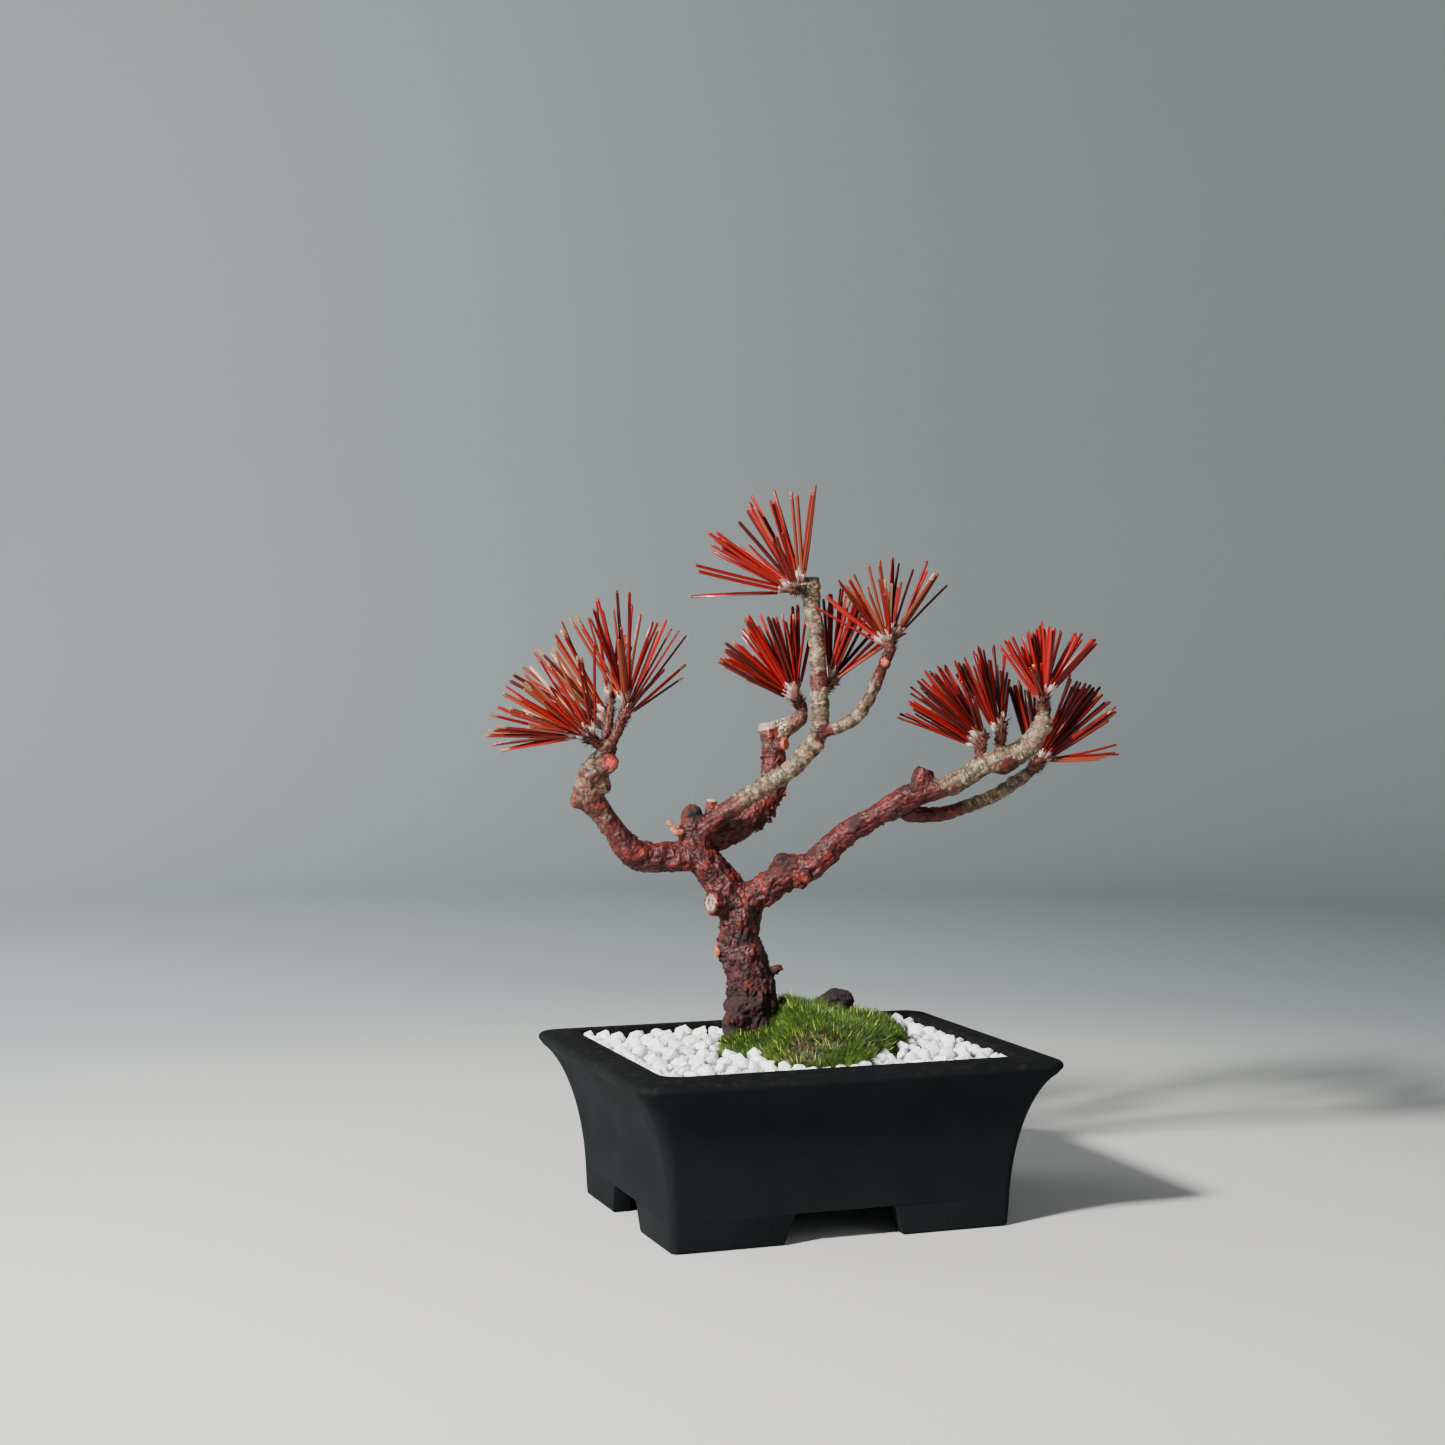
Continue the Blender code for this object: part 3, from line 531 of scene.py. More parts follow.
def object_of(name, bm, link=True):
    """An object from a bmesh, which this uses up."""
    mesh = bpy.data.meshes.new(name)
    bm.to_mesh(mesh)
    bm.free()
    obj = bpy.data.objects.new(name, mesh)
    return linked(obj) if link else obj


def collection_of(name, objects):
    """A collection that only the geometry trees use."""
    made = bpy.data.collections.new(name)
    for obj in objects:
        made.objects.link(obj)
    return made


def mesh_object(name, vertices, faces, link=True):
    """An object from places in millimetres and faces, with its faces turned outwards."""
    bm = bmesh.new()
    verts = [bm.verts.new(Vector(vertex) * MM) for vertex in vertices]
    for face in faces:
        bm.faces.new([verts[i] for i in face])
    bmesh.ops.recalc_face_normals(bm, faces=bm.faces)
    return object_of(name, bm, link)


def add_rings(vertices, faces, rings):
    """Adds a closed tube through rings of equally many places to a mesh's lists."""
    count = len(rings[0])
    first = len(vertices)
    for ring in rings:
        vertices.extend(ring)
    for row in range(len(rings) - 1):
        low = first + row * count
        for i in range(count):
            j = (i + 1) % count
            faces.append((low + i, low + j, low + count + j, low + count + i))
    last = first + (len(rings) - 1) * count
    faces.append(tuple(first + i for i in reversed(range(count))))
    faces.append(tuple(last + i for i in range(count)))


def tube(name, rings, link=True):
    """An object that is one closed tube through rings."""
    vertices, faces = [], []
    add_rings(vertices, faces, rings)
    return mesh_object(name, vertices, faces, link)


def clad(name, vertices, faces, finish):
    """A piece from places and faces, in one material."""
    piece = mesh_object(name, vertices, faces)
    piece.data.materials.append(finish)
    return piece


def shade(obj, sharp_from):
    """Shades an object smooth, apart from edges that turn by more than some degrees."""
    obj.data.shade_smooth()
    obj.data.set_sharp_from_angle(angle=math.radians(sharp_from))


def set_attribute(mesh, name, values):
    """Stores a whole number, a number or a vector for each of a mesh's vertices."""
    values = np.array(values)
    vectors = values.ndim == 2
    whole = values.dtype.kind == "i"
    kind = "FLOAT_VECTOR" if vectors else "INT" if whole else "FLOAT"
    values = values.astype(np.int32 if whole else np.float32).ravel()
    mesh.attributes.new(name, kind, "POINT").data.foreach_set("vector" if vectors else "value", values)


def remove(obj):
    """Deletes an object and its mesh."""
    mesh = obj.data
    bpy.data.objects.remove(obj, do_unlink=True)
    bpy.data.meshes.remove(mesh)


def modify(obj, name, kind, **settings):
    """Adds a modifier with its settings."""
    modifier = obj.modifiers.new(name, kind)
    for key, value in settings.items():
        setattr(modifier, key, value)


def settle(obj):
    """Turns an object's modifiers into plain mesh and removes them."""
    graph = bpy.context.evaluated_depsgraph_get()
    graph.update()
    result = bpy.data.meshes.new_from_object(obj.evaluated_get(graph), depsgraph=graph)
    obj.modifiers.clear()
    old = obj.data
    obj.data = result
    result.name = obj.name
    bpy.data.meshes.remove(old)
    return obj


class Builder:
    """Adds nodes to a tree and wires them by their sockets."""

    def __init__(self, tree):
        self.tree = tree

    def add(self, kind, inputs=None, **settings):
        node = self.tree.nodes.new(kind)
        for name, value in settings.items():
            setattr(node, name, value)
        for key, value in (inputs or {}).items():
            self.feed(node.inputs[key], value)
        return node

    def feed(self, socket, value):
        if isinstance(value, bpy.types.NodeSocket):
            self.tree.links.new(value, socket)
        else:
            socket.default_value = value

    def math(self, operation, a, b=0.0):
        return self.add("ShaderNodeMath", {0: a, 1: b}, operation=operation).outputs[0]

    def times(self, a, b):
        return self.math("MULTIPLY", a, b)

    def plus(self, a, b):
        return self.math("ADD", a, b)

    def minus(self, a, b):
        return self.math("SUBTRACT", a, b)

    def per_size(self, size):
        """The scale of a pattern whose cells or patches are of a size in millimetres."""
        return self.math("DIVIDE", PER_METRE, size)

    def vector(self, operation, a, b):
        """A sum, product or other vector of two vectors."""
        return self.add("ShaderNodeVectorMath", {0: a, 1: b}, operation=operation).outputs["Vector"]

    def scaled(self, vector, factor):
        inputs = {0: vector, "Scale": factor}
        return self.add("ShaderNodeVectorMath", inputs, operation="SCALE").outputs["Vector"]

    def combine(self, x, y=0.0, z=0.0):
        return self.add("ShaderNodeCombineXYZ", {0: x, 1: y, 2: z}).outputs[0]

    def separate(self, vector, axis):
        """A vector's part along an axis: 0 across, 1 back and 2 up."""
        return self.add("ShaderNodeSeparateXYZ", {0: vector}).outputs[axis]

    def mix(self, factor, a, b):
        """A blend of two numbers."""
        return self.add("ShaderNodeMix", {0: factor, 2: a, 3: b}).outputs[0]

    def blend(self, factor, a, b):
        """A blend of two colours, each a socket or (red, green, blue)."""
        a, b = (tone if isinstance(tone, bpy.types.NodeSocket) else (*tone, 1.0) for tone in (a, b))
        return self.add("ShaderNodeMix", {0: factor, 6: a, 7: b}, data_type="RGBA").outputs[2]

    def spread(self, value, low, high, to_low=0.0, to_high=1.0):
        """A number taken smoothly from one range to another."""
        inputs = {0: value, 1: low, 2: high, 3: to_low, 4: to_high}
        return self.add("ShaderNodeMapRange", inputs, interpolation_type="SMOOTHSTEP").outputs[0]

    def noise(self, vector, scale, detail=2.0, roughness=0.5, output=0):
        inputs = {"Vector": vector, "Scale": scale, "Detail": detail, "Roughness": roughness}
        return self.add("ShaderNodeTexNoise", inputs).outputs[output]

    def named(self, name, data_type="FLOAT"):
        """A named attribute, in a geometry tree."""
        inputs = {"Name": name}
        return self.add("GeometryNodeInputNamedAttribute", inputs, data_type=data_type).outputs[0]


def new_tree(name, kind, inputs, outputs):
    """A node group with named sockets: its builder, its inputs by name, and its output node."""
    tree = bpy.data.node_groups.new(name, kind)
    for socket, (socket_type, value) in inputs.items():
        made = tree.interface.new_socket(socket, in_out="INPUT", socket_type=socket_type)
        if value is not None:
            made.default_value = value
    for socket, socket_type in outputs.items():
        tree.interface.new_socket(socket, in_out="OUTPUT", socket_type=socket_type)
    builder = Builder(tree)
    entry = builder.add("NodeGroupInput").outputs
    exit_node = builder.add("NodeGroupOutput")
    return builder, entry, exit_node


def geometry_modifier(obj, tree, values):
    """Puts a geometry tree on an object, with its inputs set by name."""
    modifier = obj.modifiers.new(tree.name, "NODES")
    modifier.node_group = tree
    for item in tree.interface.items_tree:
        if item.item_type == "SOCKET" and item.in_out == "INPUT" and item.name in values:
            modifier[item.identifier] = values[item.name]


FLOAT = "NodeSocketFloat"
VECTOR = "NodeSocketVector"
COLOUR = "NodeSocketColor"
GEOMETRY = "NodeSocketGeometry"
MATERIAL = "NodeSocketMaterial"
MOTTLE_GRAIN_SHARE = 0.4


def mottle_group():
    """Two blended tones with soft patches and fine grains in them, and the mask that blends them."""
    nodes, entry, out = new_tree(
        "mottle", "ShaderNodeTree",
        {
            "Vector": (VECTOR, None), "Light": (COLOUR, None), "Dark": (COLOUR, None),
            "Patch size": (FLOAT, 10.0), "Grain size": (FLOAT, 1.0), "Contrast": (FLOAT, 0.5),
        },
        {"Colour": COLOUR, "Mask": FLOAT},
    )
    patch = nodes.noise(entry["Vector"], nodes.per_size(entry["Patch size"]), 3.0)
    grain = nodes.noise(entry["Vector"], nodes.per_size(entry["Grain size"]), 2.0)
    both = nodes.mix(MOTTLE_GRAIN_SHARE, patch, grain)
    half = nodes.times(entry["Contrast"], 0.5)
    mask = nodes.spread(both, nodes.minus(0.5, half), nodes.plus(0.5, half))
    nodes.feed(out.inputs["Colour"], nodes.blend(mask, entry["Dark"], entry["Light"]))
    nodes.feed(out.inputs["Mask"], mask)
    return nodes.tree


def grit_group():
    """A bumpy normal from fine and coarse noise of named sizes, drawn out along the axes where wanted."""
    nodes, entry, out = new_tree(
        "grit", "ShaderNodeTree",
        {
            "Vector": (VECTOR, None), "Size": (FLOAT, 1.0), "Depth": (FLOAT, 0.1),
            "Stretch": (VECTOR, (1, 1, 1)), "Coarse size": (FLOAT, 2.0), "Coarse depth": (FLOAT, 0.0),
        },
        {"Normal": VECTOR},
    )
    drawn = nodes.vector("MULTIPLY", entry["Vector"], entry["Stretch"])
    fine = nodes.noise(drawn, nodes.per_size(entry["Size"]), 4.0, 0.6)
    coarse = nodes.noise(drawn, nodes.per_size(entry["Coarse size"]), 2.0)
    height = nodes.plus(nodes.times(fine, entry["Depth"]), nodes.times(coarse, entry["Coarse depth"]))
    bump = nodes.add("ShaderNodeBump", {"Height": height, "Distance": MM, "Strength": 1.0})
    nodes.feed(out.inputs["Normal"], bump.outputs[0])
    return nodes.tree


MOTTLE = mottle_group()
GRIT = grit_group()


class Finish(Builder):
    """A new material and the builder of its nodes."""

    def __init__(self, name, roughness, specular=0.5):
        self.material = bpy.data.materials.new(name)
        self.material.use_nodes = True
        super().__init__(self.material.node_tree)
        self.shader = self.tree.nodes["Principled BSDF"].inputs
        self.shader["Roughness"].default_value = roughness
        self.shader["Specular IOR Level"].default_value = specular
        self.where = self.add("ShaderNodeTexCoord").outputs["Object"]

    def paint(self, colour):
        self.feed(self.shader["Base Color"], colour)

    def roughen(self, roughness):
        self.feed(self.shader["Roughness"], roughness)

    def attribute(self, name, output="Fac"):
        return self.add("ShaderNodeAttribute", attribute_name=name).outputs[output]

    def mottled(self, tones, patch_size, grain_size, contrast):
        """The mottle group's colour and mask, for a light and a dark tone."""
        light, dark = tones
        values = {
            "Vector": self.where, "Light": (*light, 1.0), "Dark": (*dark, 1.0),
            "Patch size": patch_size, "Grain size": grain_size, "Contrast": contrast,
        }
        group = self.add("ShaderNodeGroup", values, node_tree=MOTTLE)
        return group.outputs["Colour"], group.outputs["Mask"]

    def patches(self, size, low, high, detail=3.0):
        """Soft patches of a size in millimetres, none below the low number and full above the high."""
        return self.spread(self.noise(self.where, PER_METRE / size, detail), low, high)

    def coat(self, base, mask, strength, colour):
        """The base with a colour over it where the mask is, as strong as is said."""
        return self.blend(self.times(mask, strength), base, colour)

    def gritty(self, where, size, depth, stretch=(1, 1, 1), coarse=(2.0, 0.0)):
        """Wires the grit group to the normal. Coarse gives the size and depth of its coarse part."""
        values = {
            "Vector": where, "Size": size, "Depth": depth, "Stretch": stretch,
            "Coarse size": coarse[0], "Coarse depth": coarse[1],
        }
        self.feed(self.shader["Normal"], self.add("ShaderNodeGroup", values, node_tree=GRIT).outputs[0])


# The pot's glaze: its tones, the painted shade that darkens its rim, brown wear, pale specks, the heights
# in metres between which it turns into rim and foot, and how many scuffs and specks there are to a metre
GLAZE_TONES = ((0.0088, 0.011, 0.0121), (0.0058, 0.0074, 0.0083))
GLAZE_RIM_SHADE = (0.0034, 0.0042, 0.0046)
GLAZE_WEAR = (0.03, 0.018, 0.013)
GLAZE_SPECK = (0.16, 0.15, 0.13)
RIM_BAND = (0.071, 0.077)
FOOT_BAND = (0.004, 0.0)
SCUFF_SCALE = 260.0
SPECK_SCALE = 130.0
SPECK_EDGE = (0.035, 0.02)
SPECK_PATCH_SCALE = 40.0

# Bark dyed red, with a painted highlight on its ridges and painted shade in its cracks, and how strongly
# any bark reflects
BARK_SPECULAR = 0.32
RED_TONES = ((0.088, 0.0085, 0.0065), (0.03, 0.006, 0.0055))
RED_BRIGHT = (0.15, 0.015, 0.0085)
RED_DULL = (0.02, 0.007, 0.009)
RED_RIDGE_HIGHLIGHT = (0.24, 0.065, 0.06)
RED_CRACK_SHADE = (0.009, 0.003, 0.003)
RED_FOOT = (0.011, 0.004, 0.005)
FLAKE_TONES = ((0.13, 0.022, 0.016), (0.022, 0.006, 0.005))
STOUT_GIRTH = (5.0, 10.0)

# Bark weathered grey, with painted shade in its cracks and in the gaps of its wrinkles
GREY_TONES = ((0.23, 0.168, 0.1), (0.055, 0.037, 0.022))
GREY_FLECK = (0.4, 0.33, 0.22)
GREY_TAN = (0.26, 0.11, 0.05)
GREY_CRACK_SHADE = (0.032, 0.022, 0.014)
GREY_WRINKLE_SHADE = (0.036, 0.024, 0.015)
GREY_PINK = (0.16, 0.07, 0.055)
WRINKLE_SCALE = 460.0
WRINKLE_STRETCH = (0.4, 0.4, 1.0)
RAGGED_EDGE_SCALE = 200.0

# Sawn wood: fresh at its edge and core, orange, and weathered where it rots and where it is sound
FRESH_WOOD = ((0.15, 0.028, 0.018), (0.5, 0.04, 0.045))
ORANGE_WOOD = (0.36, 0.075, 0.035)
PALE_WOOD = ((0.1, 0.04, 0.032), (0.36, 0.25, 0.21))

# Sheaths, marble, the grey that each pebble's tone gives it and that is painted shade low down between
# the pebbles, and the heights in metres over which that shade falls, soil, the moss cushion under its
# leaves, dark as painted shade, and the studio's floor and wall, the wall with painted light to the left
# and painted shade to the right, with the distances in metres over which they blend
SHEATH_BROWN = (0.13, 0.04, 0.027)
MARBLE_TONES = ((0.91, 0.915, 0.91), (0.76, 0.765, 0.775))
MARBLE_GREY_AND_SHADE = (0.26, 0.26, 0.27)
LOW_SHADE_BAND = (0.0735, 0.07)
SOIL_TONES = ((0.06, 0.04, 0.028), (0.015, 0.01, 0.008))
MOSS_BASE_SHADE_TONES = ((0.03, 0.045, 0.008), (0.01, 0.014, 0.004))
FLOOR_TONE = (0.46, 0.46, 0.435)
WALL_LIT_AND_SHADED_TONES = ((0.31, 0.342, 0.345), (0.16, 0.182, 0.184))
WALL_FROM = (0.26, 0.75)
SHADED_FROM = (-0.3, 1.3)


def pot_glaze():
    """Matt black glaze with a faint blue-green cast, darkened towards the rim with painted shade, and
    brownish with wear towards the rim and foot.
    """
    glaze = Finish("pot_glaze", 0.55, 0.03)
    colour, mask = glaze.mottled(GLAZE_TONES, 22.0, 1.2, 0.7)
    height = glaze.separate(glaze.where, 2)
    near_rim = glaze.spread(height, *RIM_BAND)
    # Painted shade: the glaze darkens towards the top of the rim, where the key light falls from high
    # above.
    colour = glaze.coat(colour, near_rim, 0.8, GLAZE_RIM_SHADE)
    scuffs = glaze.spread(glaze.noise(glaze.where, SCUFF_SCALE, 5.0, 0.7), 0.5, 0.72)
    worn = glaze.times(glaze.math("MAXIMUM", near_rim, glaze.spread(height, *FOOT_BAND)), scuffs)
    colour = glaze.coat(colour, worn, 0.7, GLAZE_WEAR)
    cells = glaze.add("ShaderNodeTexVoronoi", {"Vector": glaze.where, "Scale": SPECK_SCALE})
    specks = glaze.spread(cells.outputs["Distance"], *SPECK_EDGE)
    rare = glaze.spread(glaze.noise(glaze.where, SPECK_PATCH_SCALE), 0.6, 0.66)
    glaze.paint(glaze.coat(colour, specks, rare, GLAZE_SPECK))
    glaze.roughen(glaze.mix(mask, 0.74, 0.62))
    glaze.gritty(glaze.where, 0.9, 0.035)
    return glaze.material


def bark():
    """Bark that goes from dyed red to weathered grey, darker in its cracks with painted shade and paler on
    its ridges with a painted highlight, with sawn ends from fresh red wood to weathered pale."""
    skin = Finish("bark", 0.45, BARK_SPECULAR)
    patches, coat, spread, times = skin.patches, skin.coat, skin.spread, skin.times
    grain = skin.attribute("grain", "Vector")
    relief, cut, age, foot = (skin.attribute(name) for name in ("relief", "cut", "age", "foot"))

    red, _ = skin.mottled(RED_TONES, 6.0, 1.2, 0.5)
    red = coat(red, patches(7.5, 0.5, 0.66), 0.75, RED_BRIGHT)
    stout = spread(skin.attribute("girth"), *STOUT_GIRTH, 0.45, 0.9)
    red = coat(red, patches(9.0, 0.5, 0.62, 2.0), times(stout, 0.8), RED_DULL)
    # Painted highlight: paler pink on the high ridges of the relief, where the key light would glint.
    ridge_highlight = times(spread(relief, 0.55, 0.85), patches(2.6, 0.45, 0.65))
    red = coat(red, ridge_highlight, 0.34, RED_RIDGE_HIGHLIGHT)
    # Painted shade: darker where the relief sinks into cracks, most on stout wood.
    red = coat(red, spread(relief, 0.36, 0.12), stout, RED_CRACK_SHADE)
    red = coat(red, times(foot, patches(8.0, 0.22, 0.5)), 0.9, RED_FOOT)

    grey, _ = skin.mottled(GREY_TONES, 2.6, 1.2, 0.26)
    grey = coat(grey, patches(1.7, 0.55, 0.62), 0.65, GREY_FLECK)
    grey = coat(grey, patches(4.4, 0.55, 0.66), 0.6, GREY_TAN)
    # Painted shade: darker in the cracks of the relief, and in bands across the grain for the gaps between
    # wrinkles.
    grey = coat(grey, spread(relief, 0.46, 0.2), 0.85, GREY_CRACK_SHADE)
    across = skin.vector("MULTIPLY", grain, WRINKLE_STRETCH)
    wrinkle_shade = spread(skin.noise(across, WRINKLE_SCALE, 3.0, 0.65), 0.52, 0.43)
    grey = coat(grey, wrinkle_shade, 0.8, GREY_WRINKLE_SHADE)
    grey = coat(grey, patches(8.0, 0.52, 0.66), 0.5, GREY_PINK)
    ragged = skin.minus(skin.noise(skin.where, RAGGED_EDGE_SCALE, 4.0), 0.5)
    ragged = skin.plus(skin.attribute("grey"), ragged)
    colour = skin.blend(spread(ragged, 0.28, 0.72), red, grey)

    core = spread(skin.plus(cut, times(patches(1.6, 0.3, 0.7), 0.15)), 0.68, 0.8)
    sound = skin.math("MAXIMUM", patches(1.5, 0.42, 0.6), spread(age, 0.95, 0.85))
    wood = skin.blend(spread(age, 0.1, 0.35), skin.blend(core, *FRESH_WOOD), ORANGE_WOOD)
    wood = skin.blend(spread(age, 0.4, 0.75), wood, skin.blend(sound, *PALE_WOOD))
    skin.paint(skin.blend(spread(cut, 0.1, 0.42), colour, wood))
    sheen = skin.mix(relief, 0.6, 0.3)
    skin.roughen(skin.mix(spread(foot, 0.1, 0.8), sheen, 0.78))
    skin.gritty(grain, 0.8, 0.24, (0.6, 0.6, 1.8), (2.6, 0.95))
    return skin.material


def flake_material():
    """Loose flakes of dyed bark, darker and lighter red."""
    flake = Finish("bark_flakes", 0.5, BARK_SPECULAR)
    flake.paint(flake.mottled(FLAKE_TONES, 5.0, 1.5, 0.4)[0])
    return flake.material


def needle_material(name, colour):
    """A glossy dyed needle in one plain colour, the glossier the brighter its red."""
    needle = Finish(name, 0.3, min(0.34, 0.1 + 1.2 * colour[0]))
    needle.paint((*colour, 1.0))
    return needle.material


def sheath_material(name, light, dark):
    """Papery scales, mottled between two tones, and brown at their foot."""
    paper = Finish(name, 0.75)
    colour, mask = paper.mottled((light, dark), 1.8, 0.6, 0.35)
    foot = paper.spread(paper.attribute("rise"), 0.8, 0.25)
    paper.paint(paper.blend(foot, colour, SHEATH_BROWN))
    paper.roughen(paper.mix(mask, 0.85, 0.65))
    paper.gritty(paper.where, 0.5, 0.12)
    return paper.material


def stone_material():
    """Chalky white marble chips, each greyer by its own tone, and darkened with painted shade low down
    between them.
    """
    marble = Finish("white_marble", 0.6)
    colour, _ = marble.mottled(MARBLE_TONES, 4.0, 0.8, 0.6)
    # Painted shade: darker low down, in the gaps between the pebbles; each pebble's tone also greys it.
    low = marble.spread(marble.separate(marble.where, 2), *LOW_SHADE_BAND, 0.0, 0.6)
    tone_and_shade = marble.math("MAXIMUM", marble.attribute("tone"), low)
    marble.paint(marble.blend(tone_and_shade, colour, MARBLE_GREY_AND_SHADE))
    marble.gritty(marble.where, 0.8, 0.14, coarse=(2.2, 0.75))
    return marble.material


def moss_material(name, light, dark, roughness=0.55):
    """One tone of moss leaf."""
    moss = Finish(name, roughness)
    moss.paint(moss.mottled((light, dark), 3.0, 0.9, 0.4)[0])
    return moss.material


def soil_material():
    """Dark crumbs of potting soil."""
    soil = Finish("potting_soil", 0.95)
    soil.paint(soil.mottled(SOIL_TONES, 3.0, 0.7, 0.6)[0])
    soil.gritty(soil.where, 1.0, 0.4)
    return soil.material


def floor_material():
    """Pale studio paper, greyer where it runs back and up behind the object, with painted light on the wall
    to the left and painted shade towards the right.
    """
    paper = Finish("studio_paper", 0.9)
    distance = paper.add("ShaderNodeVectorMath", {0: paper.where}, operation="LENGTH").outputs["Value"]
    # Painted light and shade: the wall is lighter to the left, where the key falls, and darker towards the
    # right.
    wall = paper.blend(paper.spread(paper.separate(paper.where, 0), *SHADED_FROM), *WALL_LIT_AND_SHADED_TONES)
    paper.paint(paper.blend(paper.spread(distance, *WALL_FROM), FLOOR_TONE, wall))
    return paper.material


def level_ring(half_x, half_y, corner, height):
    """A ring at a height: a rectangle with round corners, anticlockwise from the right-hand side."""
    ring = []
    for quarter in range(4):
        side_x = 1 if quarter in (0, 3) else -1
        side_y = 1 if quarter in (0, 1) else -1
        for step in range(CORNER_POINTS):
            angle = math.pi / 2 * (quarter + step / (CORNER_POINTS - 1))
            x = side_x * (half_x - corner) + corner * math.cos(angle)
            y = side_y * (half_y - corner) + corner * math.sin(angle)
            ring.append((x, y, height))
    return ring


def wall_offset(height):
    """How far the pot's outer wall stands out from its base, at a height."""
    rise = max(0.0, height - FLARE_START) / FLARE_RADIUS
    return WALL_LEAN * height + FLARE * (1 - math.sqrt(max(0.0, 1 - rise * rise)))


def pot_ring(offset, height):
    """A ring of the pot's outside, which stands out from its base by an offset."""
    corner = BASE_CORNER + CORNER_GROWTH * offset
    return level_ring(BASE_HALF[0] + offset, BASE_HALF[1] + SIDE_FLARE * offset, corner, height)


def inside_ring(height):
    """A ring of the pot's inside: straight at the mouth, narrower to the floor."""
    part = min(1.0, max(0.0, (MOUTH_STRAIGHT - height) / (MOUTH_STRAIGHT - FLOOR_TOP)))
    half_x, half_y = (m + (f - m) * part for m, f in zip(MOUTH_HALF, FLOOR_HALF))
    return level_ring(half_x, half_y, MOUTH_CORNER, height)


def notch_cutter(half_width, half_run, along_x):
    """A long prism with a notch's outline, for both ends of the pot at once."""
    narrow = half_width - NOTCH_LEAN
    low_side = half_width + NOTCH_LEAN * NOTCH_ROUND / NOTCH_HEIGHT
    half_outline = [(low_side, -NOTCH_ROUND)]
    for step in range(NOTCH_ROUND_STEPS + 1):
        angle = math.pi / 2 * step / NOTCH_ROUND_STEPS
        side = narrow - NOTCH_ROUND * (1 - math.cos(angle))
        half_outline.append((side, NOTCH_HEIGHT - NOTCH_ROUND * (1 - math.sin(angle))))
    outline = half_outline + [(-side, up) for side, up in reversed(half_outline)]
    rings = []
    for run in (-half_run, half_run):
        rings.append([(run, side, up) if along_x else (side, run, up) for side, up in outline])
    return tube("notch", rings, link=False)


def make_pot():
    """The pot again, with finer curves and softened edges."""
    skirt = (BASE_HALF[0] - SKIRT, BASE_HALF[1] - SKIRT, SKIRT_CORNER)
    rings = [level_ring(*skirt, height) for height in (RECESS_TOP, 0.0)]
    for step in range(FOOT_STEPS + 1):
        angle = math.pi / 2 * step / FOOT_STEPS
        rings.append(pot_ring(-FOOT_ROUND * (1 - math.sin(angle)), FOOT_ROUND * (1 - math.cos(angle))))
    for step in range(1, WALL_STEPS + 1):
        share = 1 - (1 - step / WALL_STEPS) ** WALL_CROWDING
        height = FOOT_ROUND + (WALL_TOP - FOOT_ROUND) * share
        rings.append(pot_ring(wall_offset(height), height))
    for step in range(LIP_STEPS):
        angle = math.radians(LIP_ANGLES[0] + (LIP_ANGLES[1] - LIP_ANGLES[0]) * step / (LIP_STEPS - 1))
        offset = FLARE - LIP_ROUND * (1 - math.cos(angle))
        rings.append(pot_ring(offset, LIP_HEIGHT + LIP_ROUND * math.sin(angle)))
    for share, drop in MOUTH_ROUNDING:
        grown_mouth = (half + share * MOUTH_ROUND for half in (*MOUTH_HALF, MOUTH_CORNER))
        rings.append(level_ring(*grown_mouth, RIM_HEIGHT - drop))
    for height in (RIM_HEIGHT - MOUTH_ROUND, MOUTH_STRAIGHT, FLOOR_TOP):
        rings.append(inside_ring(height))
    pot = tube("pot_shell", rings)
    reach = BASE_HALF[0] + 2 * FLARE
    notches = (notch_cutter(FRONT_NOTCH_HALF, reach, False), notch_cutter(SIDE_NOTCH_HALF, reach, True))
    for notch in notches:
        modify(pot, "notch", "BOOLEAN", operation="DIFFERENCE", solver="EXACT", object=notch)
    modify(pot, "soft edges", "BEVEL", width=EDGE_SOFTNESS * MM, segments=2, limit_method="ANGLE",
           angle_limit=SOFTENED_FROM)
    settle(pot)
    for notch in notches:
        remove(notch)
    shade(pot, 35)
    return pot


def skin_rings(frames, phase):
    """Rings round a limb, finely lumped, each place in millimetres."""
    rings = []
    for centre, radius, _, side, upright in frames:
        ring = []
        for k in range(SKIN_SIDES):
            angle = 2 * math.pi * k / SKIN_SIDES
            out = side * math.cos(angle) + upright * math.sin(angle)
            lump = noise.noise((centre + out * radius) / LUMP_SPACING + Vector((phase, 0, 0)))
            ring.append(centre + out * (radius + SKIN_SWELL) * (1 + SKIN_LUMP * lump))
        rings.append(ring)
    return rings


def wood_lines():
    """Every line of wood as (name, stations, how its end looks), limbs before stubs."""
    lines = [(name, stations, LIMB_AGES.get(name, NO_CUT)) for name, stations in LIMBS.items()]
    lines.append(("surface_root", SURFACE_ROOT, NO_CUT))
    for name, stubs in STUBS.items():
        lines += [(f"{name}_stub", stub, age) for stub, age in zip(stubs, STUB_AGES[name])]
    for name, ((root, end, radius, _), _) in TUFTS.items():
        stem = tuple((*spot, radius + swell) for spot, swell in zip((root, end), STEM_TAPER))
        lines.append((f"{name}_stem", stem, NO_CUT))
    return lines


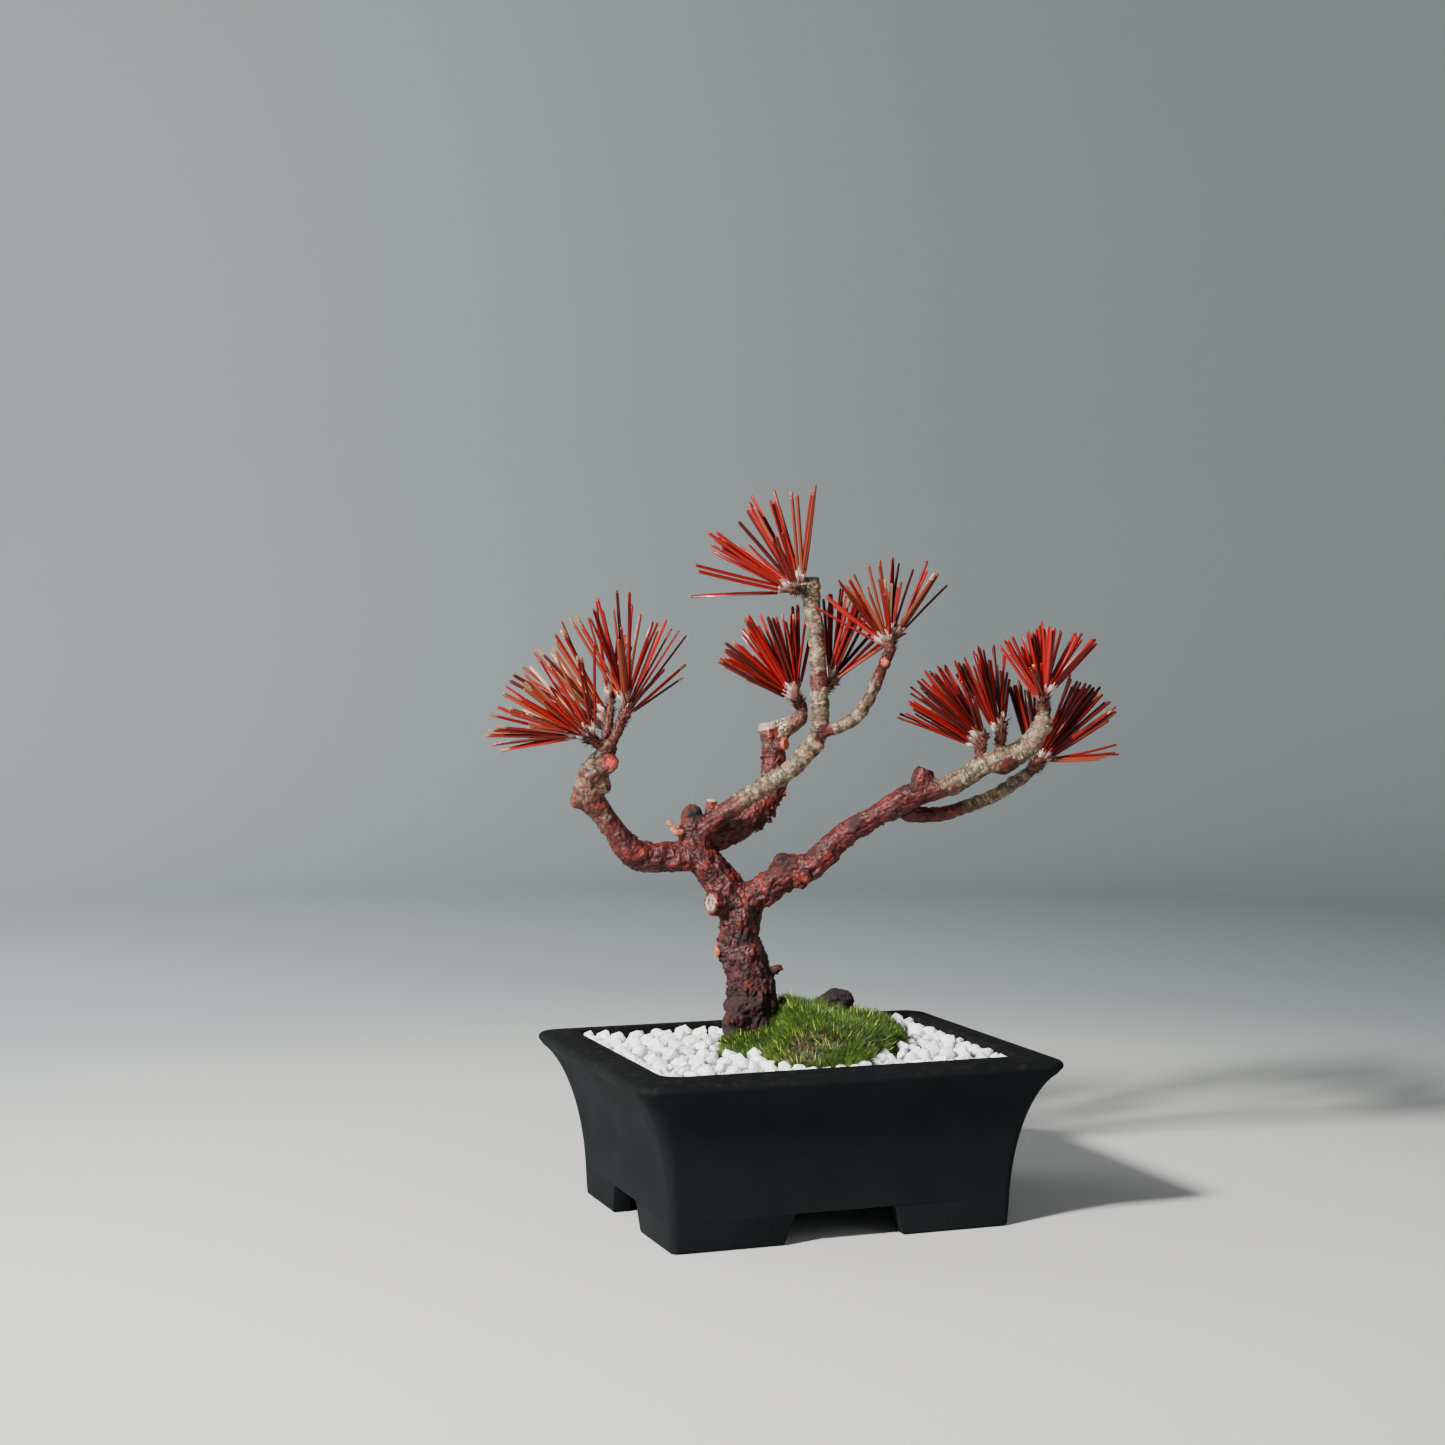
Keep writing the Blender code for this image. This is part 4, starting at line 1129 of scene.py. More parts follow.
def wood_samples():
    """Points along every line of wood, each with what the bark there needs to know: its centre, the
    directions along it, to its side and upright, its radius, how far along the wood it is, how grey it
    is, how its end looks, and how it looks where it has no bark."""
    samples = []
    for number, (name, stations, age) in enumerate(wood_lines()):
        frames = path_frames(smooth_path(stations, SAMPLE_SPACING))
        root_grey, tip_grey = GREYING.get(name, SIDE_GREY)
        end = frames[-1][0]
        run = 0.0
        for i, (centre, radius, along, side, upright) in enumerate(frames):
            share = i / (len(frames) - 1)
            if i:
                run += (centre - frames[i - 1][0]).length
            grey = min(1.0, max(0.0, root_grey + (tip_grey - root_grey) * share))
            end_age = age if i == len(frames) - 1 else NO_CUT
            capped = age >= 0 and (centre - end).length < CAP_LENGTHS.get(age, -1)
            samples.append((
                centre, along, side, upright, radius, run + RUN_STEP * number, grey, end_age,
                age if capped else NO_CUT,
            ))
    return samples


def near_spots(places, spots):
    """How strongly each place is coloured by the nearest of some round spots."""
    strength = np.zeros(len(places))
    for across, behind, height, radius, full in spots:
        distance = np.linalg.norm(places - np.array(place(across, behind, height)), axis=1)
        strength = np.maximum(strength, full * np.clip(2.0 - 1.6 * distance / radius, 0.0, 1.0))
    return strength


def paint_skin(skin):
    """Writes each skin vertex's place along and round its limb, and how grey, dark or cut it is."""
    mesh = skin.data
    count = len(mesh.vertices)
    places = np.empty(count * 3, np.float32)
    mesh.vertices.foreach_get("co", places)
    places = places.reshape(-1, 3) / MM
    centres, alongs, sides, uprights, radii, runs, greys, ages, caps = (
        np.array(column, np.float32) for column in zip(*wood_samples())
    )
    grain = np.empty((count, 3), np.float32)
    grey, girth, cut, age = (np.zeros(count, np.float32) for _ in range(4))
    for start in range(0, count, SKIN_BATCH):
        part = slice(start, start + SKIN_BATCH)
        offset = places[part, None, :] - centres[None, :, :]
        score = np.linalg.norm(offset, axis=2) / radii[None, :]
        nearest = score.argmin(axis=1)
        weight = np.exp(-NEAREST_SOFTNESS * (score - score.min(axis=1, keepdims=True)))
        grey[part] = (weight * greys).sum(axis=1) / weight.sum(axis=1)
        away = offset[np.arange(len(nearest)), nearest]
        across, up, ahead = ((away * axes[nearest]).sum(axis=1) for axes in (sides, uprights, alongs))
        reach = np.maximum(np.hypot(across, up), 1e-3)
        radius = radii[nearest]
        grain[part, 0] = across / reach * radius
        grain[part, 1] = up / reach * radius
        grain[part, 2] = runs[nearest] + ahead
        girth[part] = radius
        inwards = 1 - reach / (CUT_SHARE * radius)
        on_end = (ages[nearest] >= 0) & (ahead > -CUT_DEPTH) & (inwards > 0)
        on_cap = caps[nearest] >= 0
        cut[part] = np.where(on_end, CUT_EDGE + (1 - CUT_EDGE) * inwards, np.where(on_cap, CAP_CUT, 0.0))
        age[part] = np.maximum(np.maximum(ages[nearest], caps[nearest]), 0)
    grey *= 1 - near_spots(places, RED_SPOTS)
    foot = np.clip((DARK_FOOT_TOP - places[:, 2]) / DARK_FOOT_FADE, 0.0, 1.0)
    foot = np.maximum(foot, near_spots(places, DARK_SPOTS))
    painted = {"grey": grey, "girth": girth, "cut": cut, "age": age, "foot": foot, "grain": grain * MM}
    for name, values in painted.items():
        set_attribute(mesh, name, values)


# How many times to a metre the bark's plates wander, and its rings vary round the limb
WANDER_SCALE = 190.0
RING_STRETCH = 190.0


def bark_relief_tree():
    """A geometry tree that raises plates, flakes and fissures on red bark, rings on grey bark and lumps
    on both, by the skin's attributes, and stores how high each point came as relief."""
    nodes, entry, out = new_tree(
        "bark_relief", "GeometryNodeTree",
        {
            "Geometry": (GEOMETRY, None),
            "Plate height": (FLOAT, 0.85), "Plate width": (FLOAT, 4.2), "Plate length": (FLOAT, 7.5),
            "Flake height": (FLOAT, 0.5), "Flake width": (FLOAT, 1.7), "Flake length": (FLOAT, 2.8),
            "Fissure depth": (FLOAT, 1.1), "Fissure width": (FLOAT, 3.4), "Fissure length": (FLOAT, 13.0),
            "Ring height": (FLOAT, 0.75), "Ring spacing": (FLOAT, 2.3),
            "Lump height": (FLOAT, 2.2), "Lump size": (FLOAT, 6.5),
            "Grit height": (FLOAT, 0.55), "Grit size": (FLOAT, 1.8),
            "Warp": (FLOAT, 0.0042), "Full girth": (FLOAT, 10.0), "Seed": (FLOAT, 0.0),
            "Bark": (MATERIAL, None),
        },
        {"Geometry": GEOMETRY},
    )
    plus, minus, times, mix, spread = nodes.plus, nodes.minus, nodes.times, nodes.mix, nodes.spread

    def drawn_out(vector, wide, long):
        """The vector with one unit for each width across the grain and each length along it."""
        wide, long = nodes.per_size(entry[wide]), nodes.per_size(entry[long])
        return nodes.vector("MULTIPLY", vector, nodes.combine(wide, wide, long))

    def cells(vector):
        """A random height for each cell, and how far a point is from the edges between them."""
        inputs = {"Vector": vector, "Scale": 1.0}
        high = nodes.separate(nodes.add("ShaderNodeTexVoronoi", inputs).outputs["Color"], 0)
        edge = nodes.add("ShaderNodeTexVoronoi", inputs, feature="DISTANCE_TO_EDGE").outputs["Distance"]
        return high, spread(edge, 0.0, 0.22)

    def part(share, middle, height):
        """How far a share lifts the bark, from none at its middle, for a height by name."""
        return times(minus(share, middle), entry[height])

    grain = nodes.vector("ADD", nodes.named("grain", "FLOAT_VECTOR"), nodes.combine(entry["Seed"]))
    wander = nodes.vector("SUBTRACT", nodes.noise(grain, WANDER_SCALE, 3.0, output=1), (0.5, 0.5, 0.5))
    warped = nodes.vector("ADD", grain, nodes.scaled(wander, entry["Warp"]))
    plate_high, plate_edge = cells(drawn_out(warped, "Plate width", "Plate length"))
    flake_high, flake_edge = cells(drawn_out(warped, "Flake width", "Flake length"))
    vein = minus(nodes.noise(drawn_out(warped, "Fissure width", "Fissure length"), 1.0), 0.5)
    fissure = spread(nodes.math("ABSOLUTE", vein), 0.0, 0.07)
    grit = nodes.noise(grain, nodes.per_size(entry["Grit size"]), 4.0, 0.65)
    lumps = nodes.noise(grain, nodes.per_size(entry["Lump size"]), 1.0)
    stretch = nodes.combine(RING_STRETCH, RING_STRETCH, nodes.per_size(entry["Ring spacing"]))
    rings = spread(nodes.noise(nodes.vector("MULTIPLY", warped, stretch), 1.0), 0.25, 0.7)

    girth = spread(nodes.math("DIVIDE", nodes.named("girth"), entry["Full girth"]), 0.1, 1.0, 0.35, 1.0)
    grey = nodes.named("grey")
    steps = plus(part(plate_high, 0.5, "Plate height"), part(flake_high, 0.5, "Flake height"))
    seams = mix(0.4, part(plate_edge, 0.8, "Plate height"), part(flake_edge, 0.8, "Flake height"))
    grit_part = part(grit, 0.5, "Grit height")
    red_height = plus(plus(steps, seams), part(fissure, 1.0, "Fissure depth"))
    red_height = times(plus(red_height, grit_part), girth)
    grey_height = plus(plus(part(rings, 0.5, "Ring height"), grit_part), times(steps, 0.35))
    lump_part = times(part(lumps, 0.5, "Lump height"), girth)
    height = plus(mix(grey, red_height, grey_height), lump_part)
    sawn = spread(nodes.named("cut"), 0.0, 0.4)
    smoothed = times(sawn, spread(nodes.named("age"), 1.0, 0.2))
    height = times(times(height, minus(1.0, smoothed)), MM)
    offset = nodes.scaled(nodes.add("GeometryNodeInputNormal").outputs[0], height)

    red_relief = mix(0.5, mix(0.45, plate_high, flake_high), mix(0.5, plate_edge, grit))
    red_relief = times(red_relief, mix(0.85, 1.0, fissure))
    relief = mix(grey, red_relief, mix(0.35, rings, grit))
    stored = stored_value(nodes, entry["Geometry"], "relief", relief, "POINT")
    moved = nodes.add("GeometryNodeSetPosition", {"Geometry": stored, "Offset": offset})
    smooth = nodes.add("GeometryNodeSetShadeSmooth", {0: moved.outputs[0]})
    nodes.feed(out.inputs[0], finished(nodes, smooth.outputs[0], entry["Bark"]))
    return nodes.tree


def stored_value(nodes, geometry, name, value, domain):
    """Geometry with a number stored on it as a named attribute."""
    store = {"Geometry": geometry, "Name": name, "Value": value}
    kind = {"data_type": "FLOAT", "domain": domain}
    return nodes.add("GeometryNodeStoreNamedAttribute", store, **kind).outputs[0]


def finished(nodes, geometry, finish):
    """Geometry with its instances made real and a material on it."""
    real = nodes.add("GeometryNodeRealizeInstances", {0: geometry})
    return nodes.add("GeometryNodeSetMaterial", {0: real.outputs[0], "Material": finish}).outputs[0]


def stem_knobs():
    """The small knobs that old sheaths leave round each stem: (place in millimetres, radius)."""
    knobs = []
    rng = random.Random(43)
    for _, root, end, radius in tuft_stems():
        for _ in range(STEM_KNOBS):
            away = random_vector(rng.gauss, 0, 1).normalized()
            spot = root.lerp(end, rng.uniform(0.35, 1.0)) + away * radius
            knobs.append((spot, rng.uniform(*STEM_KNOB_RADIUS)))
    return knobs


def make_skin(bark_material):
    """Trunk, boughs, stubs, stems and knobs under one bark."""
    vertices, faces = [], []
    for number, (_, stations, _) in enumerate(wood_lines()):
        frames = path_frames(smooth_path(stations, SKIN_SPACING))
        add_rings(vertices, faces, skin_rings(frames, number))
    skin = mesh_object("tree_bark", vertices, faces)
    bm = bmesh.new()
    bm.from_mesh(skin.data)
    knots = [(place(*knot[:3]), knot[3]) for knot in KNOTS]
    for spot, radius in (*knots, *stem_knobs()):
        turn = Matrix.Translation(spot * MM)
        bmesh.ops.create_icosphere(bm, subdivisions=KNOT_FINENESS, radius=radius * MM, matrix=turn)
    bm.to_mesh(skin.data)
    bm.free()
    modify(skin, "one skin", "REMESH", mode="VOXEL", voxel_size=SKIN_VOXEL * MM)
    modify(skin, "soften", "SMOOTH", factor=0.5, iterations=SKIN_SMOOTHING)
    settle(skin)
    paint_skin(skin)
    geometry_modifier(skin, bark_relief_tree(), {"Bark": bark_material})
    return settle(skin)


# Needles: their section, bows and rows of (share of the length, share of the width), how a pair stands,
# and how much they are clipped
NEEDLE_WIDTH = 1.75
NEEDLE_WIDTHS = (0.85, 1.08)
NEEDLE_THICKNESS = 0.55
NEEDLE_HOLLOW = 0.16
NEEDLE_BACK_STEPS = 4
NEEDLE_GAP = 0.1
NEEDLE_SPLAY = (0.0, 0.02)
NEEDLE_TILT = (-0.012, 0.012)
NEEDLE_BOWS = (0.0, 1.3, -1.3, 2.4)
NEEDLE_ROWS = ((0.0, 0.8), (0.2, 0.97), (0.45, 1.0), (0.7, 0.98), (0.975, 0.9), (1.0, 0.5))
CLIPPED_BY = (0, 0, 0.4, 0.9, 1.6, 3.2)

# Some tips have dried, the more of them the more of the tuft is russet
TIP_LENGTH = (1.5, 4.5)
DRIED_SHARE = 0.02

# Some pairs have lost a needle: how many, and how many in the tufts that are sparse
LONE_SHARE = 0.25
LONE_SHARES = {
    "needles_left_low": 0.65, "needles_left_high": 0.75, "needles_left_rear": 0.7, "needles_side": 0.85,
}

# Colours of needles, and how many of each there are in a tuft, in the order of the colours
ODD_COLOUR_SHARE = 0.15
NEEDLE_COLOURS = {
    "needles_scarlet": (0.2, 0.003, 0.002),
    "needles_crimson": (0.12, 0.003, 0.002),
    "needles_maroon": (0.048, 0.004, 0.003),
    "needles_russet": (0.17, 0.03, 0.012),
    "needles_straw": (0.4, 0.25, 0.12),
}
RUSSET = 3
TIP_COLOUR = (0.26, 0.12, 0.055)
COLOUR_SHARES = {
    "needles_top": (6, 5, 2, 1, 0),
    "needles_left_low": (14, 8, 2, 11, 1),
    "needles_left_high": (10, 8, 4, 10, 1),
    "needles_left_rear": (8, 8, 5, 10, 2),
    "needles_middle": (12, 10, 5, 5, 1),
    "needles_middle_right": (4, 6, 4, 3, 0),
    "needles_side": (5, 8, 4, 10, 1),
    "needles_right_inner": (5, 6, 3, 0, 0),
    "needles_right_middle": (3, 5, 4, 0, 0),
    "needles_right_tip": (8, 4, 2, 0, 0),
    "needles_right_low": (2, 6, 4, 1, 0),
}

# Sheaths, made one unit wide and long and then sized in millimetres, and the dry scales on the stems
SHEATH_OVERLAP = 1.2
SHEATH_FOOT = 0.8
SHEATH_REACH = 8.6
SHEATH_SHAPES = 6
SHEATH_SIDES = 6
SHEATH_WIDTH = 2.4
SHEATH_WIDTHS = (0.85, 1.25)
SHEATH_LENGTHS = (0.88, 1.1)
SHEATH_ROWS = ((0.0, 0.24), (0.3, 0.34), (0.65, 0.42), (0.92, 0.38))
SHEATH_OVAL = (1.15, 0.85)
SHEATH_RAGGED = (-0.16, 0.2)
SHEATH_SCALES = 6
SHEATH_SCALE_HALF_WIDTH = 0.13
BROWN_SHEATH_SHARE = 0.5
SCALES_PER_STEM = 130
SCALE_LENGTH = (1.4, 3.4)
SCALE_HALF_WIDTH = (0.3, 0.65)
PAPERS = {
    "sheaths_pale": ("pale_paper", (0.62, 0.5, 0.45), (0.22, 0.11, 0.085)),
    "sheaths_brown": ("brown_paper", (0.32, 0.17, 0.13), (0.07, 0.02, 0.016)),
}


def needle_shapes():
    """Half-round needles one unit wide and one unit long, straight or slightly bowed, clipped flat."""
    shapes = []
    for number, bow in enumerate(NEEDLE_BOWS):
        rings = []
        for share, width in NEEDLE_ROWS:
            centre = Vector((0, bow / NEEDLE_WIDTH * share * share, share))
            ring = [centre + Vector((width / 2, 0, 0)), centre - Vector((0, NEEDLE_HOLLOW * width, 0))]
            ring.append(centre - Vector((width / 2, 0, 0)))
            for k in range(1, NEEDLE_BACK_STEPS):
                angle = math.pi * (1 - k / NEEDLE_BACK_STEPS)
                out = Vector((width / 2 * math.cos(angle), NEEDLE_THICKNESS * width * math.sin(angle), 0))
                ring.append(centre + out)
            rings.append([spot / MM for spot in ring])
        shape = tube(f"needle_{number}", rings, link=False)
        shade(shape, 55)
        shapes.append(shape)
    return collection_of("needles", shapes)


class Sprays:
    """Collects, for each kind of piece, where its copies stand and how they are turned and sized."""

    def __init__(self):
        self.kinds = {}

    def add(self, kind, *copy):
        """Adds one copy: its foot, its aim, its side, the number of its shape, and its size."""
        self.kinds.setdefault(kind, []).append(copy)

    def make(self, kind, shapes, finish):
        """The piece that all the copies of a kind make."""
        feet, *others = zip(*self.kinds[kind])
        points = point_object(f"{kind}_places", feet, dict(zip(("aim", "side", "shape", "size"), others)))
        piece = grown(kind, points, AIMED, shapes, {"Material": finish})
        remove(points)
        return piece


def make_needles(crown):
    """Every pair as two needles, a piece for each colour, with dried tips on some of them. Returns
    the pieces and each pair's foot, aim and side, for its sheath."""
    sprays = Sprays()
    sheaths = []
    rng = random.Random(5)
    colours = list(NEEDLE_COLOURS)
    for tuft, pairs in crown.items():
        shares = COLOUR_SHARES[tuft]
        dried_share = DRIED_SHARE * (1 + shares[RUSSET])
        lone_share = LONE_SHARES.get(tuft, LONE_SHARE)
        for start, tip in pairs:
            along = (tip - start).normalized()
            side = along.cross(random_vector(rng.uniform, -1, 1)).normalized()
            face = side.cross(along)
            colour = rng.choices(colours, shares)[0]
            sheaths.append((start + along * SHEATH_FOOT, along, side))
            halves = (rng.choice((-1, 1)),) if rng.random() < lone_share else (-1, 1)
            for half in halves:
                splay = rng.uniform(*NEEDLE_SPLAY) * half
                aim = (along + side * splay + face * rng.uniform(*NEEDLE_TILT)).normalized()
                foot = start + along * (SHEATH_REACH - SHEATH_OVERLAP)
                foot += side * (half * (NEEDLE_WIDTH / 2 + NEEDLE_GAP))
                length = (tip - foot).length - rng.choice(CLIPPED_BY)
                shade_name = colour
                if rng.random() < ODD_COLOUR_SHARE:
                    shade_name = rng.choices(colours, shares)[0]
                shape = rng.randrange(len(NEEDLE_BOWS))
                width = NEEDLE_WIDTH * MM * rng.uniform(*NEEDLE_WIDTHS)
                if rng.random() < dried_share:
                    shape = 0
                    dried = rng.uniform(*TIP_LENGTH)
                    length -= dried
                    size = (width, width, dried * MM)
                    sprays.add("needle_tips", foot + aim * length, aim, side, shape, size)
                sprays.add(shade_name, foot, aim, side, shape, (width, width, length * MM))
    shapes = needle_shapes()
    finishes = {**NEEDLE_COLOURS, "needle_tips": TIP_COLOUR}
    pieces = [sprays.make(kind, shapes, needle_material(kind, tone)) for kind, tone in finishes.items()]
    return pieces, sheaths


def add_scale(vertices, faces, foot, aim, out, length, half_width, curl):
    """Adds a thin dry scale to a mesh's lists: it rises from its foot, curls out and ends in a point."""
    across = aim.cross(out).normalized() * half_width
    middle = foot + aim * (0.55 * length) + out * (0.1 * curl * length)
    tip = foot + aim * length + out * (0.45 * curl * length)
    first = len(vertices)
    inward = -out * (0.35 * half_width)
    for spot in (foot, middle):
        vertices += [spot - across, spot + across, spot + inward]
    vertices.append(tip)
    for a, b in ((0, 1), (1, 2), (2, 0)):
        faces.append((first + a, first + b, first + b + 3, first + a + 3))
        faces.append((first + a + 3, first + b + 3, first + 6))
    faces.append((first, first + 2, first + 1))


def sheath_shapes():
    """Papery sheaths one unit wide and one unit long, each ragged in its own way."""
    shapes = []
    rng = random.Random(23)
    up = Vector((0, 0, 1))
    for number in range(SHEATH_SHAPES):
        rings = []
        for share, radius in SHEATH_ROWS:
            ring = []
            for k in range(SHEATH_SIDES):
                angle = 2 * math.pi * k / SHEATH_SIDES
                reach = radius * rng.uniform(0.8, 1.15)
                tooth = rng.uniform(*SHEATH_RAGGED) * share
                x, y = SHEATH_OVAL[0] * reach * math.cos(angle), SHEATH_OVAL[1] * reach * math.sin(angle)
                ring.append(Vector((x, y, share + tooth)))
            rings.append(ring)
        vertices, faces = [], []
        add_rings(vertices, faces, rings)
        for _ in range(SHEATH_SCALES):
            angle = rng.uniform(0, 2 * math.pi)
            out = Vector((math.cos(angle), math.sin(angle), 0))
            foot = out * 0.38 + Vector((0, 0, rng.uniform(0.05, 0.7)))
            length = rng.uniform(0.35, 0.6)
            curl = rng.uniform(0.1, 1.6)
            add_scale(vertices, faces, foot, up, out, length, SHEATH_SCALE_HALF_WIDTH, curl)
        shape = mesh_object(f"sheath_{number}", [vertex / MM for vertex in vertices], faces, link=False)
        set_attribute(shape.data, "rise", [min(1.0, max(0.0, vertex.z)) for vertex in vertices])
        shapes.append(shape)
    return collection_of("sheath_shapes", shapes)


def make_sheaths(sheaths, papers):
    """The papery sheath round the foot of every pair, half of them pale and half brown."""
    sprays = Sprays()
    rng = random.Random(29)
    pale, brown = papers
    for start, along, side in sheaths:
        kind = brown if rng.random() < BROWN_SHEATH_SHARE else pale
        width = SHEATH_WIDTH * MM * rng.uniform(*SHEATH_WIDTHS)
        size = (width, width, (SHEATH_REACH - SHEATH_FOOT) * MM * rng.uniform(*SHEATH_LENGTHS))
        sprays.add(kind, start, along, side, rng.randrange(SHEATH_SHAPES), size)
    shapes = sheath_shapes()
    return [sprays.make(kind, shapes, papers[kind]) for kind in (pale, brown)]


def make_scales(paper):
    """Dry bud scales that stand out round every stem."""
    vertices, faces = [], []
    rng = random.Random(41)
    for _, root, end, radius in tuft_stems():
        along = (end - root).normalized()
        side = along.orthogonal().normalized()
        face = along.cross(side)
        for _ in range(SCALES_PER_STEM):
            angle = rng.uniform(0, 2 * math.pi)
            out = side * math.cos(angle) + face * math.sin(angle)
            foot = root.lerp(end, rng.uniform(0.25, 1.05)) + out * (radius * 0.95)
            aim = (along * rng.uniform(0.5, 1.1) + out * rng.uniform(0.1, 0.7)).normalized()
            length, half_width = rng.uniform(*SCALE_LENGTH), rng.uniform(*SCALE_HALF_WIDTH)
            add_scale(vertices, faces, foot, aim, out, length, half_width, rng.uniform(0, 1.2))
    scales = clad("bud_scales", vertices, faces, paper)
    set_attribute(scales.data, "rise", [rng.uniform(0.0, 0.6) for _ in vertices])
    return scales


# Loose flakes of bark: how many there are over all the red bark above the roots, how many more hang
# under the rear bough, and how grey or cut a place may be that still has them
FLAKES = 420
FLAKES_ABOVE = 98.0
FLAKE_LENGTH = (0.9, 1.9)
FLAKE_LIFT = (0.0, 0.4)
FLAKE_WIDTH = (0.35, 0.55)
FLAKE_CURL = 0.6
RAGGED_PLACE = (10, 8, 188)
RAGGED_REACH = 20.0
RAGGED_FLAKES = 70
RAGGED_LENGTH = (1.6, 3.0)
RAGGED_LIFT = (0.3, 1.2)
STILL_RED = 0.3
STILL_BARK = 0.05


def make_flakes(skin, finish):
    """Flakes that stand loose on the red bark, thickest under the rear bough. Each lies along the bark,
    and its lift raises its tip."""
    vertices, faces = [], []
    rng = random.Random(53)
    grey, cut = (skin.data.attributes[name].data for name in ("grey", "cut"))
    red = []
    for spot in skin.data.vertices:
        has_bark = grey[spot.index].value < STILL_RED and cut[spot.index].value < STILL_BARK
        if has_bark and spot.co.z > FLAKES_ABOVE * MM:
            red.append(spot)
    middle = place(*RAGGED_PLACE)
    ragged = [spot for spot in red if (spot.co / MM - middle).length < RAGGED_REACH and spot.normal.z < 0]
    for places, count, lifts, lengths in (
        (red, FLAKES, FLAKE_LIFT, FLAKE_LENGTH), (ragged, RAGGED_FLAKES, RAGGED_LIFT, RAGGED_LENGTH),
    ):
        for spot in rng.sample(places, min(count, len(places))):
            lift = rng.uniform(*lifts)
            out = spot.normal.copy()
            drift = random_vector(rng.uniform, -1, 1)
            aim = (out.cross(drift).normalized() + out * lift).normalized()
            length = rng.uniform(*lengths)
            half_width = length * rng.uniform(*FLAKE_WIDTH)
            add_scale(vertices, faces, spot.co / MM - aim * 0.4, aim, out, length, half_width, FLAKE_CURL)
    return clad("bark_flakes", vertices, faces, finish)


# Where the white flecks are, how many, and how far they spread
RESIDUE = (19.5, 14.5, 219.5)
RESIDUE_FLECKS = 26
RESIDUE_REACH = 3.2


def make_residue(paper):
    """White dried flecks on the bark beside the rear bough's sawn top."""
    vertices, faces = [], []
    rng = random.Random(47)
    toward_camera = (place(0, -1, 0) - place(0, 0, 0)).normalized()
    for _ in range(RESIDUE_FLECKS):
        away = random_vector(rng.gauss, 0, 0.5)
        out = (toward_camera + away).normalized()
        foot = place(*RESIDUE) + away * RESIDUE_REACH
        aim = out.cross(random_vector(rng.uniform, -1, 1)).normalized()
        length, half_width = rng.uniform(1.2, 2.6), rng.uniform(0.3, 0.5)
        add_scale(vertices, faces, foot, aim, out, length, half_width, rng.uniform(0, 0.8))
    flecks = clad("residue_flecks", vertices, faces, paper)
    set_attribute(flecks.data, "rise", [1.0] * len(vertices))
    return flecks


def moss_radius(angle):
    """The moss cushion's outline, round its middle: three lobes with a ragged edge."""
    lobes = MOSS_LOBE * math.cos(3 * angle - MOSS_LOBE_TURN)
    return MOSS_RADIUS + lobes + MOSS_RAGGED * math.sin(7 * angle)


def moss_height(share, angle):
    """Height of the moss at a share of the way from its crest to its edge. It falls off in a dome, in a
    hollow towards the trunk and in a slope on the far side from it."""
    hollow = (0.5 + 0.5 * math.cos(angle - TRUNK_SIDE)) ** 2
    fall = (1 - share ** (3.0 - 2.0 * hollow)) ** (0.5 + 1.1 * hollow)
    slope = SLOPE_DROP * max(0.0, math.cos(angle - SLOPE_SIDE)) * math.sin(math.pi * share) ** 1.5
    return MOSS_EDGE + MOSS_RISE * fall - slope


def moss_clump(x, y):
    """How far one of the moss's round clumps rises at a place."""
    distances, _ = noise.voronoi(Vector((x, y, 0)) / CLUMP_SIZE)
    return CLUMP_RISE * (1 - min(1.0, distances[0]) ** 2)


def make_moss_cushion():
    """The cushion that the moss leaves stand on, closed down to the soil."""
    angles = [2 * math.pi * side / MOSS_SIDES for side in range(MOSS_SIDES)]
    outline = []
    for angle in angles:
        radius = moss_radius(angle) - CUSHION_INSET
        x = MOSS_MIDDLE[0] + radius * math.cos(angle)
        outline.append((x, MOSS_MIDDLE[1] + radius * math.sin(angle)))
    rings = [[(x, y, SOIL_TOP) for x, y in outline]]
    for step in range(MOSS_RINGS):
        share = 1 - step / MOSS_RINGS
        ring = []
        for angle, (x, y) in zip(angles, outline):
            here_x = MOSS_CREST[0] + (x - MOSS_CREST[0]) * share
            here_y = MOSS_CREST[1] + (y - MOSS_CREST[1]) * share
            ruffle = noise.fractal(Vector((here_x, here_y, 0)) / RUFFLE_SIZE, 1.0, 2.0, 3) * MOSS_RUFFLE
            clump = moss_clump(here_x, here_y) - CLUMP_RISE
            ring.append((here_x, here_y, moss_height(share, angle) - LEAF_ROOM + ruffle + clump))
        rings.append(ring)
    cushion = tube("moss_cushion", rings)
    cushion.data.shade_smooth()
    return cushion


def random_value(nodes, entry, data_type, low, high, seed_shift):
    """A random number or vector for each place, seeded from the tree's own seed."""
    first = {"FLOAT_VECTOR": 0, "FLOAT": 2, "INT": 4}[data_type]
    inputs = {first: low, first + 1: high, 8: nodes.plus(entry["Seed"], seed_shift)}
    node = nodes.add("FunctionNodeRandomValue", inputs, data_type=data_type)
    return next(socket for socket in node.outputs if socket.enabled)


def chosen_shapes(nodes, entry):
    """The shapes of a tree's collection, each on its own."""
    inputs = {"Collection": entry["Shapes"], "Separate Children": True, "Reset Children": True}
    return nodes.add("GeometryNodeCollectionInfo", inputs).outputs[0]


